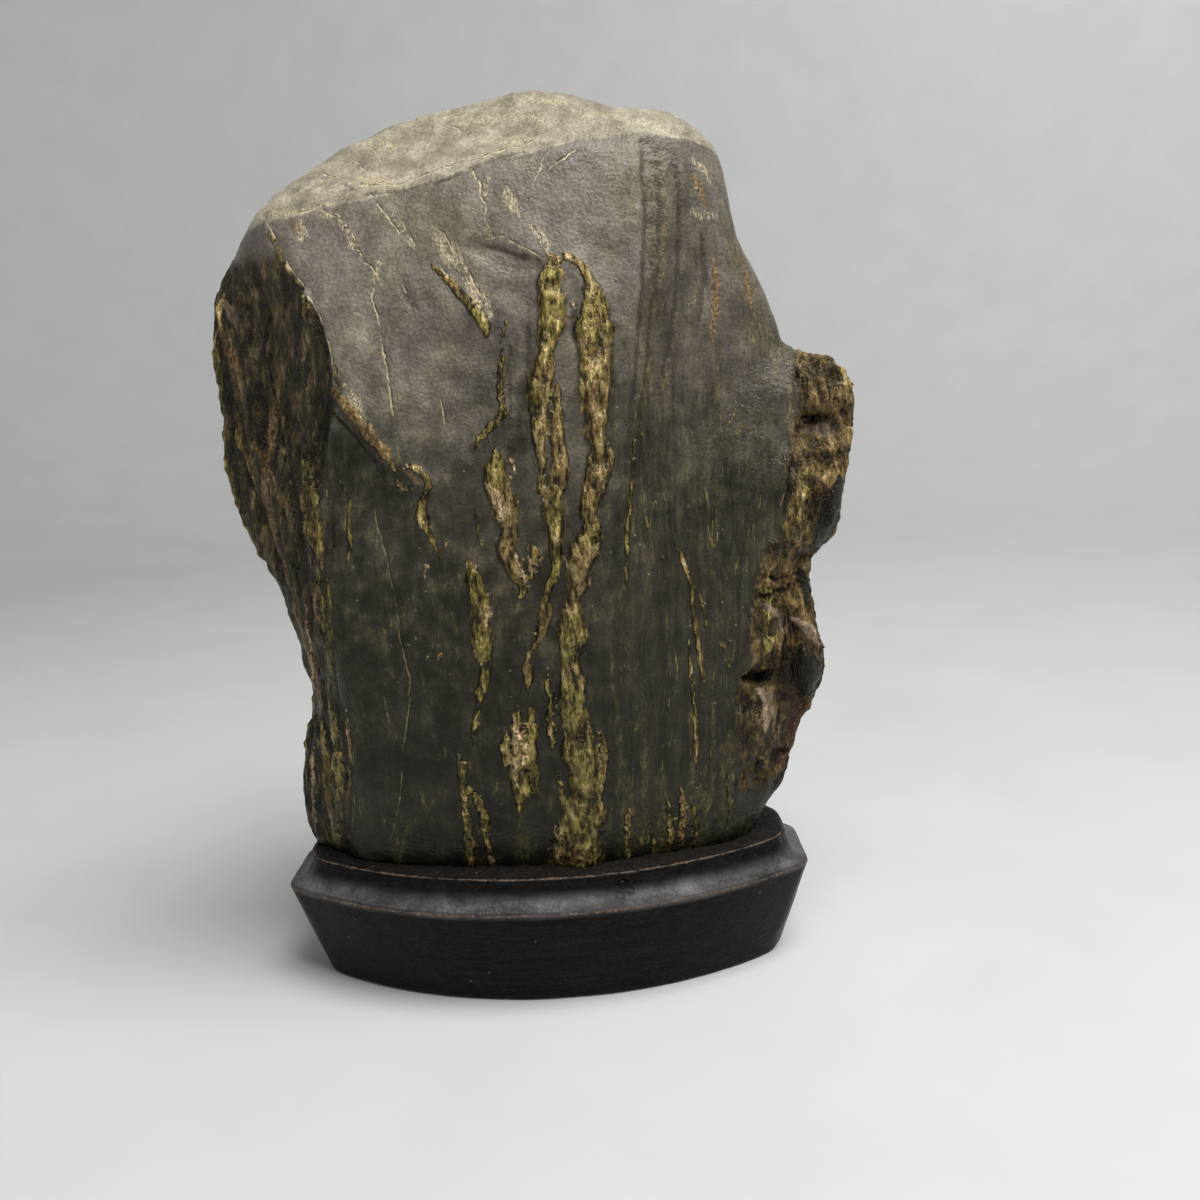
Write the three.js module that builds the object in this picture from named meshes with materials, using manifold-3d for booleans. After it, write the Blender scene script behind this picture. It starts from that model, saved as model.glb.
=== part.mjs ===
// A viewing stone standing in its carved wooden stand.
// The stone is one piece: a dark upright slab with a sloping crown, a sheared left flank, a hollowed right
// flank, raised veins down its face and a row of knobs along its right edge.
// The stand is one block of wood: an apron that tapers to the floor, a hollow cove, a ledge, and a seat that
// is carved to the foot of the stone.
// Millimetres, +Z up, the face towards -Y, the origin at the centre of the underside of the stand.

import * as THREE from "three";
import { mergeVertices } from "three/addons/utils/BufferGeometryUtils.js";
import { ImprovedNoise } from "three/addons/math/ImprovedNoise.js";
import Module from "manifold-3d";

const wasm = await Module();
wasm.setup();

// Stand: its plan is two long arcs closed by two straight ends, measured at the arris above the apron.
const STAND_LENGTH = 114;
const STAND_DEPTH = 64;
const STAND_SIDE_RADIUS = 87;
const APRON_HEIGHT = 22;
// How much shorter and shallower the underside is than the arris, on each side.
const APRON_TAPER = 6.8;
const APRON_END_TAPER = 4.8;
const FOOT_ROUND = 1.2;
const NOSE_ROUND = 0.8;
const COVE_HEIGHT = 5.2;
const COVE_INSET = 4.4;
const LEDGE_WIDTH = 5;
const LEDGE_RISE = 1.4;
const SEAT_CLEARANCE = 0.4;
const ARC_STEPS = 20;
const END_STEPS = 3;

// Stone: its outline seen from the front, as [x, z], from the foot up the left side, over the crown and down
// the knobs.
const STONE_OUTLINE = [
  [-20, 20],
  [-43, 21.5],
  [-52.3, 29],
  [-53.9, 40],
  [-52.4, 50],
  [-49.3, 61],
  [-50.5, 72],
  [-54, 86],
  [-61.2, 100],
  [-63.5, 112],
  [-63.8, 126],
  [-64.8, 137],
  [-64.4, 143],
  [-62.4, 149],
  [-56.8, 157],
  [-50, 165],
  [-38, 173.6],
  [-24, 179.6],
  [-9, 183.4],
  [5, 185.4],
  [14, 184],
  [23, 180.5],
  [29, 180],
  [35.5, 177.7],
  [42, 171.5],
  [43.8, 163],
  [45.5, 154],
  [49.3, 147],
  [53, 137],
  [54.4, 132],
  [59, 130.8],
  [66, 128],
  [69, 122],
  [68.4, 113],
  [66, 103],
  [64.5, 94],
  [58.8, 87],
  [59.2, 77],
  [61.3, 66],
  [58.9, 57],
  [54.5, 48],
  [53, 40],
  [48, 34],
  [44.5, 28],
  [39, 22],
  [20, 20],
];
// The point that the whole outline can be seen from.
const STONE_HEART = new THREE.Vector2(3, 100);
// Subdivisions of each edge of the icosahedron that is drawn out into the stone.
const STONE_DETAIL = 19;
// The part of the ball that is drawn out into the face. The rest becomes the back.
const FACE_SHARE = 0.64;
// How square the face turns into the edge of the slab: higher is squarer.
const FACE_SQUARENESS = 6;
const BACK_SQUARENESS = 3.6;
// How far the rim of the slab sets back per millimetre of height, and comes forward per millimetre to the
// right.
const RIM_SET_BACK = 0.03;
const RIM_TURN = 0.04;
// The least depth of the face and of the back where they turn into the rim, and how gradually they reach it.
const RIM_DEPTH = 4;
const RIM_ROUND = 9;

// Depth of the face in front of the middle plane, and of the back behind it, as [z, depth].
const FACE_DEPTH = [
  [20, 21],
  [30, 23.5],
  [60, 25.5],
  [90, 26.5],
  [115, 26],
  [140, 23.5],
  [160, 21],
  [186, 17],
];
const BACK_DEPTH = [
  [20, 20],
  [30, 22],
  [60, 25.5],
  [95, 26],
  [130, 23],
  [160, 18],
  [186, 13],
];

// The face is bowed from side to side, most of all at the foot, as [z, depth lost per squared millimetre].
const FACE_BOW = [
  [28, 0.0045],
  [55, 0.003],
  [90, 0.0015],
  [140, 0.001],
];

// Edges that part the facets of the face. The crown slopes back above its ridge, given as [x, z].
const CROWN_RIDGE = [
  [-45, 161],
  [-34, 162.5],
  [-22, 164.5],
  [-6.5, 168],
  [10.5, 172],
  [26, 174],
  [40, 172],
];
const CROWN_SLOPE = 1.15;
// The left flank shears back beside its edge, given as [z, x].
const LEFT_EDGE = [
  [36, -41],
  [49, -39],
  [66, -38.5],
  [86, -40],
  [110, -38],
  [122, -36],
  [133, -37],
  [147, -40],
  [158, -46.5],
];
const LEFT_SLOPE = [
  [28, 1.3],
  [50, 1],
  [90, 0.8],
];
// The right flank falls away from a crease, given as [z, x], by a fall, given as [z, depth], over a reach.
const RIGHT_CREASE = [
  [60, 16],
  [84, 17.5],
  [104, 20],
  [123, 22.5],
  [142, 25.5],
  [160, 27.5],
  [174, 27.5],
];
const RIGHT_FALL = [
  [30, 2],
  [60, 3],
  [84, 5],
  [104, 9],
  [123, 12],
  [142, 12],
  [160, 11],
  [174, 10],
];
const RIGHT_REACH = 13;
const CREASE_ROUND = 2;
// The knobs stand behind a step at the right of the face, given as [z, x].
const RIGHT_STEP = [
  [32, 41],
  [49, 42.5],
  [64, 43.5],
  [73, 46],
  [85, 48],
  [101, 53.5],
  [115, 55.5],
  [131, 54],
];
const RIGHT_STEP_DEPTH = 2;
const RIGHT_STEP_ROUND = 3;
// Edges on the back: it leans away above a shoulder, and chamfers beside two upright edges.
const BACK_SHOULDER = 128;
const BACK_LEAN = 0.2;
const BACK_EDGE_LEFT = -30;
const BACK_EDGE_RIGHT = 32;
const BACK_CHAMFER = 0.4;
// Width over which two facets run into each other.
const FACET_ROUND = 2.6;

// Rounded swellings on the right edge of the face: [x, z], radius and rise.
const KNOBS = [
  { at: [62, 122], radius: 8, rise: 3.2 },
  { at: [60, 102], radius: 9, rise: 3.6 },
  { at: [58, 67], radius: 7, rise: 2.6 },
  { at: [45, 54], radius: 8, rise: 2 },
];
// Strokes across the face, as [x, z] points: raised veins have a positive rise, clefts a negative one.
const FACE_STROKES = [
  { name: "left strand of the main vein", width: 3.2, rise: 1.1,
    points: [[8, 149], [9, 140], [6, 129], [4.6, 118], [6.4, 104.5], [5, 93], [1, 81], [-1.5, 69]] },
  { name: "right strand of the main vein", width: 3, rise: 1.1,
    points: [[12.4, 149], [14.7, 138], [15.5, 123], [15.2, 110], [14, 98], [11.3, 90.5]] },
  { name: "foot of the main vein", width: 4, rise: 1.5,
    points: [[11.3, 90.5], [7.7, 77], [7.4, 60], [8.8, 52], [9.6, 43], [8.4, 27]] },
  { name: "cleft under the knob", width: 2.4, rise: -3.6,
    points: [[57, 116], [61, 116.5], [70, 118]] },
  { name: "cleft at the waist", width: 3.4, rise: -4.2,
    points: [[47, 82], [53, 85], [62, 89]] },
  { name: "cleft over the block", width: 2.2, rise: -3.4,
    points: [[43, 63.5], [46.5, 64.3], [51, 65.5]] },
  { name: "red crevice", width: 3, rise: -2.6,
    points: [[49.5, 78], [53.5, 71], [55, 58], [52, 44]] },
];
// A ledge whose upper side stands proud and fades upwards, and whose lower side drops off at once.
const LEDGE_LINE = [[-38, 133], [-35, 125.5], [-31, 118], [-23.5, 110.5], [-17, 107]];
const LEDGE_PROUD = 2.2;
const LEDGE_FADE = 13;
const LEDGE_DROP = 1.6;
// Strokes across the back.
const BACK_STROKES = [
  { name: "hollow", width: 11, rise: -3, points: [[20, 140], [26, 108], [22, 78]] },
  { name: "vein", width: 3.4, rise: 1.4, points: [[-4, 182], [2, 140], [-6, 100], [-2, 62], [-8, 24]] },
];
// Shear steps down the back, drawn downwards: the side to the right of each line stands proud.
const BACK_STEPS = [
  { proud: 2.6, points: [[-34, 176], [-28, 132], [-34, 92], [-26, 60], [-30, 20]] },
  { proud: -2.2, points: [[18, 182], [12, 150], [17, 112], [34, 84], [30, 20]] },
  { proud: 2, points: [[-60, 92], [-40, 84], [-14, 88], [4, 76]] },
];
const BACK_STEP_ROUND = 2.5;
// Gentle unevenness all over, as wavelength and height of each wave.
const FACE_WAVES = [[24, 0.7], [9, 0.3]];
const BACK_WAVES = [[30, 1.8], [12, 0.6]];
// Where each side is cut through the noise, so that the face and the back share no pattern.
const FACE_WAVE_CUT = 0.3;
const BACK_WAVE_CUT = 5.7;

// A smooth curve through [position, value] pairs, level beyond its ends.
function curveThrough(pairs) {
  const positions = pairs.map((pair) => pair[0]);
  const values = pairs.map((pair) => pair[1]);
  const curve = new THREE.CubicInterpolant(positions, values, 1);
  return (position) => curve.evaluate(position)[0];
}

// The smaller of two depths, rounded where they meet.
function softMin(a, b, round) {
  const share = THREE.MathUtils.clamp(0.5 + (0.5 * (b - a)) / round, 0, 1);
  return THREE.MathUtils.lerp(b, a, share) - round * share * (1 - share);
}

// The larger of two depths, rounded where they meet.
function softMax(a, b, round) {
  return -softMin(-a, -b, round);
}

// Distance from a point to a broken line, and the side it lies on: positive to the left of its direction.
function nearLine(points, x, z) {
  const best = { distance: Infinity, side: 1 };
  for (let i = 0; i + 1 < points.length; i++) {
    const [ax, az] = points[i];
    const dx = points[i + 1][0] - ax;
    const dz = points[i + 1][1] - az;
    const along = ((x - ax) * dx + (z - az) * dz) / (dx * dx + dz * dz);
    const t = THREE.MathUtils.clamp(along, 0, 1);
    const distance = Math.hypot(x - ax - t * dx, z - az - t * dz);
    if (distance < best.distance) {
      best.distance = distance;
      best.side = Math.sign(dx * (z - az) - dz * (x - ax)) || 1;
    }
  }
  return best;
}

const bell = (distance, width) => Math.exp(-((distance / width) ** 2));

function strokesAt(strokes, x, z) {
  return strokes.reduce((sum, stroke) => {
    return sum + stroke.rise * bell(nearLine(stroke.points, x, z).distance, stroke.width);
  }, 0);
}

const noise = new ImprovedNoise();

function wavesAt(waves, x, z, cut) {
  return waves.reduce((sum, [length, height]) => sum + height * noise.noise(x / length, z / length, cut), 0);
}

const faceDepth = curveThrough(FACE_DEPTH);
const backDepth = curveThrough(BACK_DEPTH);
const crownRidge = curveThrough(CROWN_RIDGE);
const faceBow = curveThrough(FACE_BOW);
const leftEdge = curveThrough(LEFT_EDGE);
const leftSlope = curveThrough(LEFT_SLOPE);
const rightCrease = curveThrough(RIGHT_CREASE);
const rightFall = curveThrough(RIGHT_FALL);
const rightStep = curveThrough(RIGHT_STEP);

function stepsAt(steps, x, z) {
  return steps.reduce((sum, { proud, points }) => {
    const { distance, side } = nearLine(points, x, z);
    return sum + proud * THREE.MathUtils.smoothstep(-side * distance, -BACK_STEP_ROUND, BACK_STEP_ROUND);
  }, 0);
}

function ledgeAt(x, z) {
  const { distance, side } = nearLine(LEDGE_LINE, x, z);
  return LEDGE_PROUD * bell(distance, side > 0 ? LEDGE_FADE : LEDGE_DROP);
}

// Depth of the front surface before the slab's middle plane.
function frontOf(x, z) {
  const flat = faceDepth(z) - faceBow(z) * x * x;
  const crown = faceDepth(crownRidge(x)) - CROWN_SLOPE * (z - crownRidge(x));
  const left = flat - leftSlope(z) * (leftEdge(z) - x);
  const past = CREASE_ROUND * Math.log1p(Math.exp((x - rightCrease(z)) / CREASE_ROUND));
  const stepped = RIGHT_STEP_DEPTH * THREE.MathUtils.smoothstep(x - rightStep(z), 0, RIGHT_STEP_ROUND);
  const right = flat - rightFall(z) * (1 - Math.exp(-past / RIGHT_REACH)) - stepped;
  const facets = softMin(softMin(right, left, FACET_ROUND), crown, FACET_ROUND);
  const knobs = KNOBS.reduce((sum, { at, radius, rise }) => {
    return sum + rise * bell(Math.hypot(x - at[0], z - at[1]), radius);
  }, 0);
  const strokes = strokesAt(FACE_STROKES, x, z);
  const relief = knobs + ledgeAt(x, z) + strokes + wavesAt(FACE_WAVES, x, z, FACE_WAVE_CUT);
  return softMax(facets, RIM_DEPTH, RIM_ROUND) + relief;
}

// Depth of the back surface behind the slab's middle plane.
function backOf(x, z) {
  const flat = backDepth(z);
  const lean = backDepth(BACK_SHOULDER) - BACK_LEAN * (z - BACK_SHOULDER);
  const left = flat - BACK_CHAMFER * (BACK_EDGE_LEFT - x);
  const right = flat - BACK_CHAMFER * (x - BACK_EDGE_RIGHT);
  const sides = softMin(left, right, FACET_ROUND);
  const facets = softMin(softMin(flat, lean, FACET_ROUND), sides, FACET_ROUND);
  const marks = strokesAt(BACK_STROKES, x, z) + stepsAt(BACK_STEPS, x, z);
  const relief = marks + wavesAt(BACK_WAVES, x, z, BACK_WAVE_CUT);
  return softMax(facets, RIM_DEPTH, RIM_ROUND) + relief;
}

// Distance from the heart to the outline in each direction, read from a closed curve through its points.
function outlineReach() {
  const curve = new THREE.CatmullRomCurve3(
    STONE_OUTLINE.map(([x, z]) => new THREE.Vector3(x, 0, z)),
    true,
    "centripetal",
  );
  const STEPS_PER_POINT = 12;
  const turns = curve.getPoints(STONE_OUTLINE.length * STEPS_PER_POINT).map((point) => {
    const x = point.x - STONE_HEART.x;
    const z = point.z - STONE_HEART.y;
    return [Math.atan2(z, x), Math.hypot(x, z)];
  });
  turns.sort((a, b) => a[0] - b[0]);
  const wrapped = [
    [turns[turns.length - 1][0] - 2 * Math.PI, turns[turns.length - 1][1]],
    ...turns,
    [turns[0][0] + 2 * Math.PI, turns[0][1]],
  ].filter((turn, i, all) => i === 0 || turn[0] - all[i - 1][0] > 1e-6);
  const reach = new THREE.LinearInterpolant(
    wrapped.map((turn) => turn[0]),
    wrapped.map((turn) => turn[1]),
    1,
  );
  return (angle) => reach.evaluate(angle)[0];
}

// Section from the middle of a face (across 0, deep 1) to the slab's rim (across 1, deep 0), spaced so that
// equal areas of a sphere become about equal areas of the stone.
function edgeSection(squareness) {
  const STEPS = 240;
  const HALF_WIDTH = 68;
  const HALF_DEPTH = 24;
  const section = [];
  let area = 0;
  for (let i = 0; i <= STEPS; i++) {
    const angle = (i / STEPS) * (Math.PI / 2);
    const across = Math.sin(angle);
    const deep = Math.cos(angle);
    const size = (across ** squareness + deep ** squareness) ** (-1 / squareness);
    const here = { across: across * size, deep: deep * size };
    if (i > 0) {
      const last = section[i - 1];
      const run = (here.across - last.across) * HALF_WIDTH;
      const fall = (here.deep - last.deep) * HALF_DEPTH;
      area += 0.5 * (here.across + last.across) * Math.hypot(run, fall);
    }
    section.push({ ...here, area });
  }
  const areas = section.map((point) => point.area / area);
  const values = section.flatMap((point) => [point.across, point.deep]);
  const spread = new THREE.LinearInterpolant(areas, values, 2);
  return (share) => spread.evaluate(share).slice();
}

function stoneGeometry() {
  const ball = new THREE.IcosahedronGeometry(1, STONE_DETAIL);
  ball.deleteAttribute("normal");
  ball.deleteAttribute("uv");
  const stone = mergeVertices(ball, 1e-5);
  const reach = outlineReach();
  const faceSection = edgeSection(FACE_SQUARENESS);
  const backSection = edgeSection(BACK_SQUARENESS);
  const position = stone.getAttribute("position");
  const point = new THREE.Vector3();
  for (let i = 0; i < position.count; i++) {
    point.fromBufferAttribute(position, i);
    // The share of the ball's surface that lies nearer the viewer than this point.
    const nearer = 0.5 + 0.5 * point.y;
    const inFront = nearer < FACE_SHARE;
    const angle = Math.atan2(point.z, point.x);
    const [across, deep] = inFront
      ? faceSection(nearer / FACE_SHARE)
      : backSection((1 - nearer) / (1 - FACE_SHARE));
    const x = STONE_HEART.x + across * reach(angle) * Math.cos(angle);
    const z = STONE_HEART.y + across * reach(angle) * Math.sin(angle);
    const rim = RIM_SET_BACK * (z - STONE_HEART.y) - RIM_TURN * x;
    const surface = inFront ? -frontOf(x, z) : backOf(x, z);
    position.setXYZ(i, x, THREE.MathUtils.lerp(rim, surface, deep), z);
  }
  stone.computeVertexNormals();
  return stone;
}

// A point list of the stand's plan, counter-clockwise from above. Its long sides are drawn in from the arris
// by inset, and its ends by endInset.
function standRing(inset, endInset) {
  const radius = STAND_SIDE_RADIUS - inset;
  const centre = STAND_SIDE_RADIUS - STAND_DEPTH / 2;
  const end = STAND_LENGTH / 2 - endInset;
  const half = Math.asin(end / radius);
  const corner = radius * Math.cos(half) - centre;
  const ring = [];
  for (const way of [1, -1]) {
    for (let i = 0; i < ARC_STEPS; i++) {
      const angle = THREE.MathUtils.lerp(-half, half, i / ARC_STEPS);
      ring.push(new THREE.Vector2(way * radius * Math.sin(angle), way * (centre - radius * Math.cos(angle))));
    }
    for (let i = 0; i < END_STEPS; i++) {
      ring.push(new THREE.Vector2(way * end, way * THREE.MathUtils.lerp(-corner, corner, i / END_STEPS)));
    }
  }
  return ring;
}

// The stand's upright section as rows of [inset, endInset, z]: foot, apron, nose of the arris, cove, ledge.
function standRows() {
  const COVE_STEPS = 4;
  const rows = [
    [APRON_TAPER + FOOT_ROUND, APRON_END_TAPER + FOOT_ROUND, 0],
    [APRON_TAPER, APRON_END_TAPER, FOOT_ROUND],
    [NOSE_ROUND / 4, NOSE_ROUND / 4, APRON_HEIGHT - NOSE_ROUND],
    [NOSE_ROUND / 4, NOSE_ROUND / 4, APRON_HEIGHT],
  ];
  for (let i = 0; i <= COVE_STEPS; i++) {
    const turn = (i / COVE_STEPS) * (Math.PI / 2);
    const inset = NOSE_ROUND + (COVE_INSET - NOSE_ROUND) * Math.sin(turn);
    const lift = NOSE_ROUND / 2 + (COVE_HEIGHT - NOSE_ROUND / 2) * (1 - Math.cos(turn));
    rows.push([inset, inset, APRON_HEIGHT + lift]);
  }
  const rim = APRON_HEIGHT + COVE_HEIGHT;
  const shoulder = COVE_INSET + LEDGE_RISE / 2;
  rows.push([shoulder, shoulder, rim + LEDGE_RISE / 2]);
  rows.push([COVE_INSET + LEDGE_WIDTH, COVE_INSET + LEDGE_WIDTH, rim + LEDGE_RISE]);
  return rows;
}

// The lathe gives the grid of faces from a section turned about the axis, and each row is then laid on its
// own ring.
function standBlank() {
  const rows = standRows();
  const top = rows[rows.length - 1][2];
  const section = [
    new THREE.Vector2(0, 0),
    ...rows.map(([inset, , z]) => new THREE.Vector2(STAND_LENGTH - inset, z)),
    new THREE.Vector2(0, top),
  ];
  const rings = rows.map(([inset, endInset]) => standRing(inset, endInset));
  const columns = rings[0].length;
  const blank = new THREE.LatheGeometry(section, columns);
  const position = blank.getAttribute("position");
  for (let column = 0; column <= columns; column++) {
    for (let row = 0; row < section.length; row++) {
      const onAxis = row === 0 || row === section.length - 1;
      const place = onAxis ? new THREE.Vector2() : rings[row - 1][column % columns];
      position.setXYZ(column * section.length + row, place.x, place.y, section[row].y);
    }
  }
  return blank;
}

function solidOf(geometry) {
  const bare = new THREE.BufferGeometry();
  bare.setAttribute("position", geometry.getAttribute("position").clone());
  bare.setIndex(geometry.index);
  const merged = mergeVertices(bare, 1e-4);
  return new wasm.Manifold(
    new wasm.Mesh({
      numProp: 3,
      vertProperties: merged.getAttribute("position").array,
      triVerts: new Uint32Array(merged.index.array),
    }),
  );
}

function geometryOf(solid) {
  const mesh = solid.getMesh();
  const geometry = new THREE.BufferGeometry();
  geometry.setAttribute("position", new THREE.BufferAttribute(mesh.vertProperties, 3));
  geometry.setIndex(new THREE.BufferAttribute(mesh.triVerts, 1));
  geometry.computeVertexNormals();
  return geometry;
}

// The stone swollen by the clearance all round: the shape of the hollow that its foot stands in.
function seatGeometry(stone) {
  const seat = stone.clone();
  const position = seat.getAttribute("position");
  const normal = seat.getAttribute("normal");
  const point = new THREE.Vector3();
  const outward = new THREE.Vector3();
  for (let i = 0; i < position.count; i++) {
    outward.fromBufferAttribute(normal, i);
    point.fromBufferAttribute(position, i).addScaledVector(outward, SEAT_CLEARANCE);
    position.setXYZ(i, point.x, point.y, point.z);
  }
  return seat;
}

const slate = new THREE.MeshStandardMaterial({ color: 0x3f3d36, roughness: 0.5, metalness: 0 });
const darkWood = new THREE.MeshStandardMaterial({ color: 0x1b1817, roughness: 0.42, metalness: 0 });

const stone = new THREE.Mesh(stoneGeometry(), slate);
stone.name = "stone";

const carved = solidOf(standBlank()).subtract(solidOf(seatGeometry(stone.geometry)));
const stand = new THREE.Mesh(geometryOf(carved), darkWood);
stand.name = "stand";

const viewingStone = new THREE.Group();
viewingStone.add(stone, stand);

export default viewingStone;
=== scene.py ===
import math

import bmesh
import bpy
import numpy as np
from mathutils import Matrix, Vector, noise
from mathutils.bvhtree import BVHTree


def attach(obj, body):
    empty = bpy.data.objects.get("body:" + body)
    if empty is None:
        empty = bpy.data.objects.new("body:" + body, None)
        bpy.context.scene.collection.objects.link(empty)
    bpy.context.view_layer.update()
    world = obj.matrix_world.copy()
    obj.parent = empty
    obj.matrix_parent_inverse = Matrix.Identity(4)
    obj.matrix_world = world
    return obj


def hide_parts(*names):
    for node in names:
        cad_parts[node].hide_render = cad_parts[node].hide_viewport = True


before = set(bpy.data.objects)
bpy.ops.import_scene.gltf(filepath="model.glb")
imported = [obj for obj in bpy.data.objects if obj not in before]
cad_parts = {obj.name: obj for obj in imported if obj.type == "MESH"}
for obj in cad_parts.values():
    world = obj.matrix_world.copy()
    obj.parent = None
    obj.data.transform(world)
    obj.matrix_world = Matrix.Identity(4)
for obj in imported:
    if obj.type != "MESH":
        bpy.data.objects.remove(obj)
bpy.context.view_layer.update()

MM = 0.001

# Camera

PHOTO_SIDE = 1200
CAMERA_PLACE = Vector((0.014, -0.258, 0.1255))
CAMERA_PITCH = 80.0
CAMERA_ROLL = -2.75
LENS = 36.0
SENSOR_WIDTH = 36.0
CLIP = (0.01, 10.0)
CAMERA_TURN = (
    Matrix.Rotation(math.radians(CAMERA_PITCH), 3, "X")
    @ Matrix.Rotation(math.radians(CAMERA_ROLL), 3, "Z")
)

# Stone: lines of the front, as points of the photograph.
# A third value in a point is the half width in photo pixels from there on.

OCHRE_VEINS = (
    (7, ((566, 258), (554, 262, 8), (551, 285, 10), (551, 300, 12), (553, 330, 13), (547, 350, 9),
         (543, 380, 13), (540, 405, 9), (539, 430, 7), (542, 450, 5), (543, 470, 4), (541, 490, 4),
         (544, 512, 3))),
    (5, ((558, 388), (558, 410, 6), (558, 430, 6), (559, 450, 8), (560, 470, 8), (556, 485, 9),
         (552, 500, 9), (553, 515, 10), (556, 530, 8), (556, 545, 7), (557, 555, 6), (557, 565, 5),
         (555, 575, 5), (550, 583, 3), (547, 595, 3), (546, 610, 6), (543, 625, 6), (538, 640, 5),
         (531, 650, 5))),
    (7, ((578, 264), (588, 280, 7), (595, 300, 10), (592, 330, 16), (594, 350, 17), (598, 380, 14),
         (598, 400, 13), (598, 430, 10), (600, 450, 8), (597, 470, 12), (592, 490, 10), (589, 510, 7),
         (591, 525, 7), (592, 540, 11), (585, 552, 15), (581, 562, 14), (580, 580, 14), (574, 600, 15))),
    (4, ((549, 256), (566, 256), (589, 268))),
    (13, ((574, 596, 14), (573, 620, 13), (573, 640, 13), (572, 655, 12), (569, 670, 10), (570, 680, 11),
          (573, 690, 12), (572, 705, 12), (571, 715, 11), (576, 725, 13), (580, 738, 16), (586, 760, 17),
          (587, 785, 16), (587, 800, 14), (581, 820, 19), (580, 840, 20), (574, 862, 26), (572, 880, 28))),
    (4, ((600, 728), (604, 745), (605, 770), (602, 790))),
    (6, ((528, 652), (528, 672, 6), (527, 694, 5))),
    (3, ((547, 664), (547, 683), (552, 703), (549, 719), (551, 736), (556, 750))),
    (2.5, ((556, 722), (558, 736))),
    (3.5, ((558, 774), (561, 790), (562, 806))),
    (6, ((468, 560), (471, 570, 8), (476, 585, 8), (479, 600, 9), (481, 620, 10), (482, 640, 9),
         (484, 655, 7), (488, 670, 5), (483, 683, 5), (480, 695, 5), (480, 704, 3), (478, 713, 3),
         (476, 728, 3), (474, 750, 2.5))),
    (4, ((458, 750), (461, 769), (465, 794, 4), (466, 816, 4), (468, 834, 4), (470, 852, 5), (470, 872, 6))),
    (4, ((471, 784), (479, 802, 5), (484, 816, 5), (486, 834, 4), (489, 852, 4), (494, 868, 6))),
    (5, ((507, 734), (504, 750), (505, 766))),
    (6, ((531, 708), (532, 740, 6), (534, 769, 6), (536, 796, 4))),
    (8, ((516, 706, 5), (519, 736, 8), (518, 766, 9), (520, 790, 8), (518, 812, 5))),
    (2.6, ((326, 574), (330, 610), (332, 650), (328, 690))),
    (4, ((322, 596), (327, 640), (334, 694))),
    (5, ((322, 716), (326, 760), (330, 812), (334, 840))),
    (3, ((346, 712), (350, 760), (346, 820))),
    (2.6, ((337, 480), (349, 496), (350, 540), (348, 570))),
    (4, ((231, 400), (240, 440), (252, 478))),
    (3, ((268, 232), (280, 252), (292, 274), (300, 292))),
    (2.6, ((334, 350), (335, 372), (338, 392))),
    (2.6, ((634, 440), (631, 490), (627, 550), (622, 600))),
    (2.4, ((690, 640), (694, 700), (697, 770))),
    (3.4, ((400, 466), (413, 466), (425, 475), (429, 484), (425, 493), (423, 505, 4), (422, 514, 6),
           (424, 524, 6), (428, 532, 3), (433, 544, 2.6), (440, 557, 2.6), (447, 564, 2))),
    (6, ((396, 482), (404, 489), (413, 488))),
    (4, ((428, 262), (451, 284, 4), (466, 297, 5), (476, 312, 7), (485, 325, 6), (489, 343, 3))),
    (2.4, ((506, 320), (502, 350), (499, 383, 3), (504, 415, 3), (490, 428, 4), (474, 447, 3))),
    (10, ((496, 450, 8), (496, 470, 11), (496, 485, 12), (506, 502, 11), (507, 515, 10), (508, 530, 8),
          (507, 545, 8), (509, 556, 9), (514, 568, 8), (518, 578, 7), (523, 588, 6), (521, 602, 3))),
    (6, ((533, 538, 3), (535, 552, 6), (534, 566, 5), (533, 578, 3))),
    (2.2, ((472, 500), (479, 524), (482, 546))),
    (9, ((303, 456), (307, 475, 10), (311, 500, 11), (316, 530, 9), (322, 568, 6))),
    (3.4, ((318, 552), (322, 570), (316, 590), (322, 606))),
    (2.6, ((319, 598), (326, 629), (333, 678), (337, 706))),
    (10, ((331, 704), (338, 750), (337, 800), (336, 840))),
    (2.4, ((675, 543), (690, 575), (693, 610), (705, 682))),
    (2.2, ((690, 580), (702, 600), (706, 624))),
    (3, ((718, 638), (725, 648), (731, 640))),
    (1.6, ((338, 216), (350, 232), (357, 246), (366, 262))),
    (6, ((331, 388), (340, 400, 7), (354, 414, 7), (364, 428, 6), (376, 444, 5), (390, 462, 5),
         (398, 474, 4))),
    (4, ((303, 290), (308, 304, 6), (306, 318, 4))),
    (4, ((680, 783), (684, 812), (681, 848))),
    (3.4, ((668, 800), (672, 830), (668, 862))),
    (3, ((652, 820), (654, 846), (650, 868))),
    (3, ((628, 806), (626, 840), (630, 870))),
    (3, ((694, 800), (698, 826), (694, 850))),
    (2.6, ((726, 770), (730, 800), (726, 830))),
    (6, ((815, 440), (832, 449), (848, 456))),
    (7, ((770, 575), (766, 600), (768, 640), (764, 672))),
    (5, ((756, 758), (768, 760), (778, 757))),
    (6, ((800, 366), (812, 392), (822, 410))),
    (6, ((838, 366), (846, 384), (846, 404))),
    (8, ((806, 470), (803, 505), (797, 545))),
)

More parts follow.
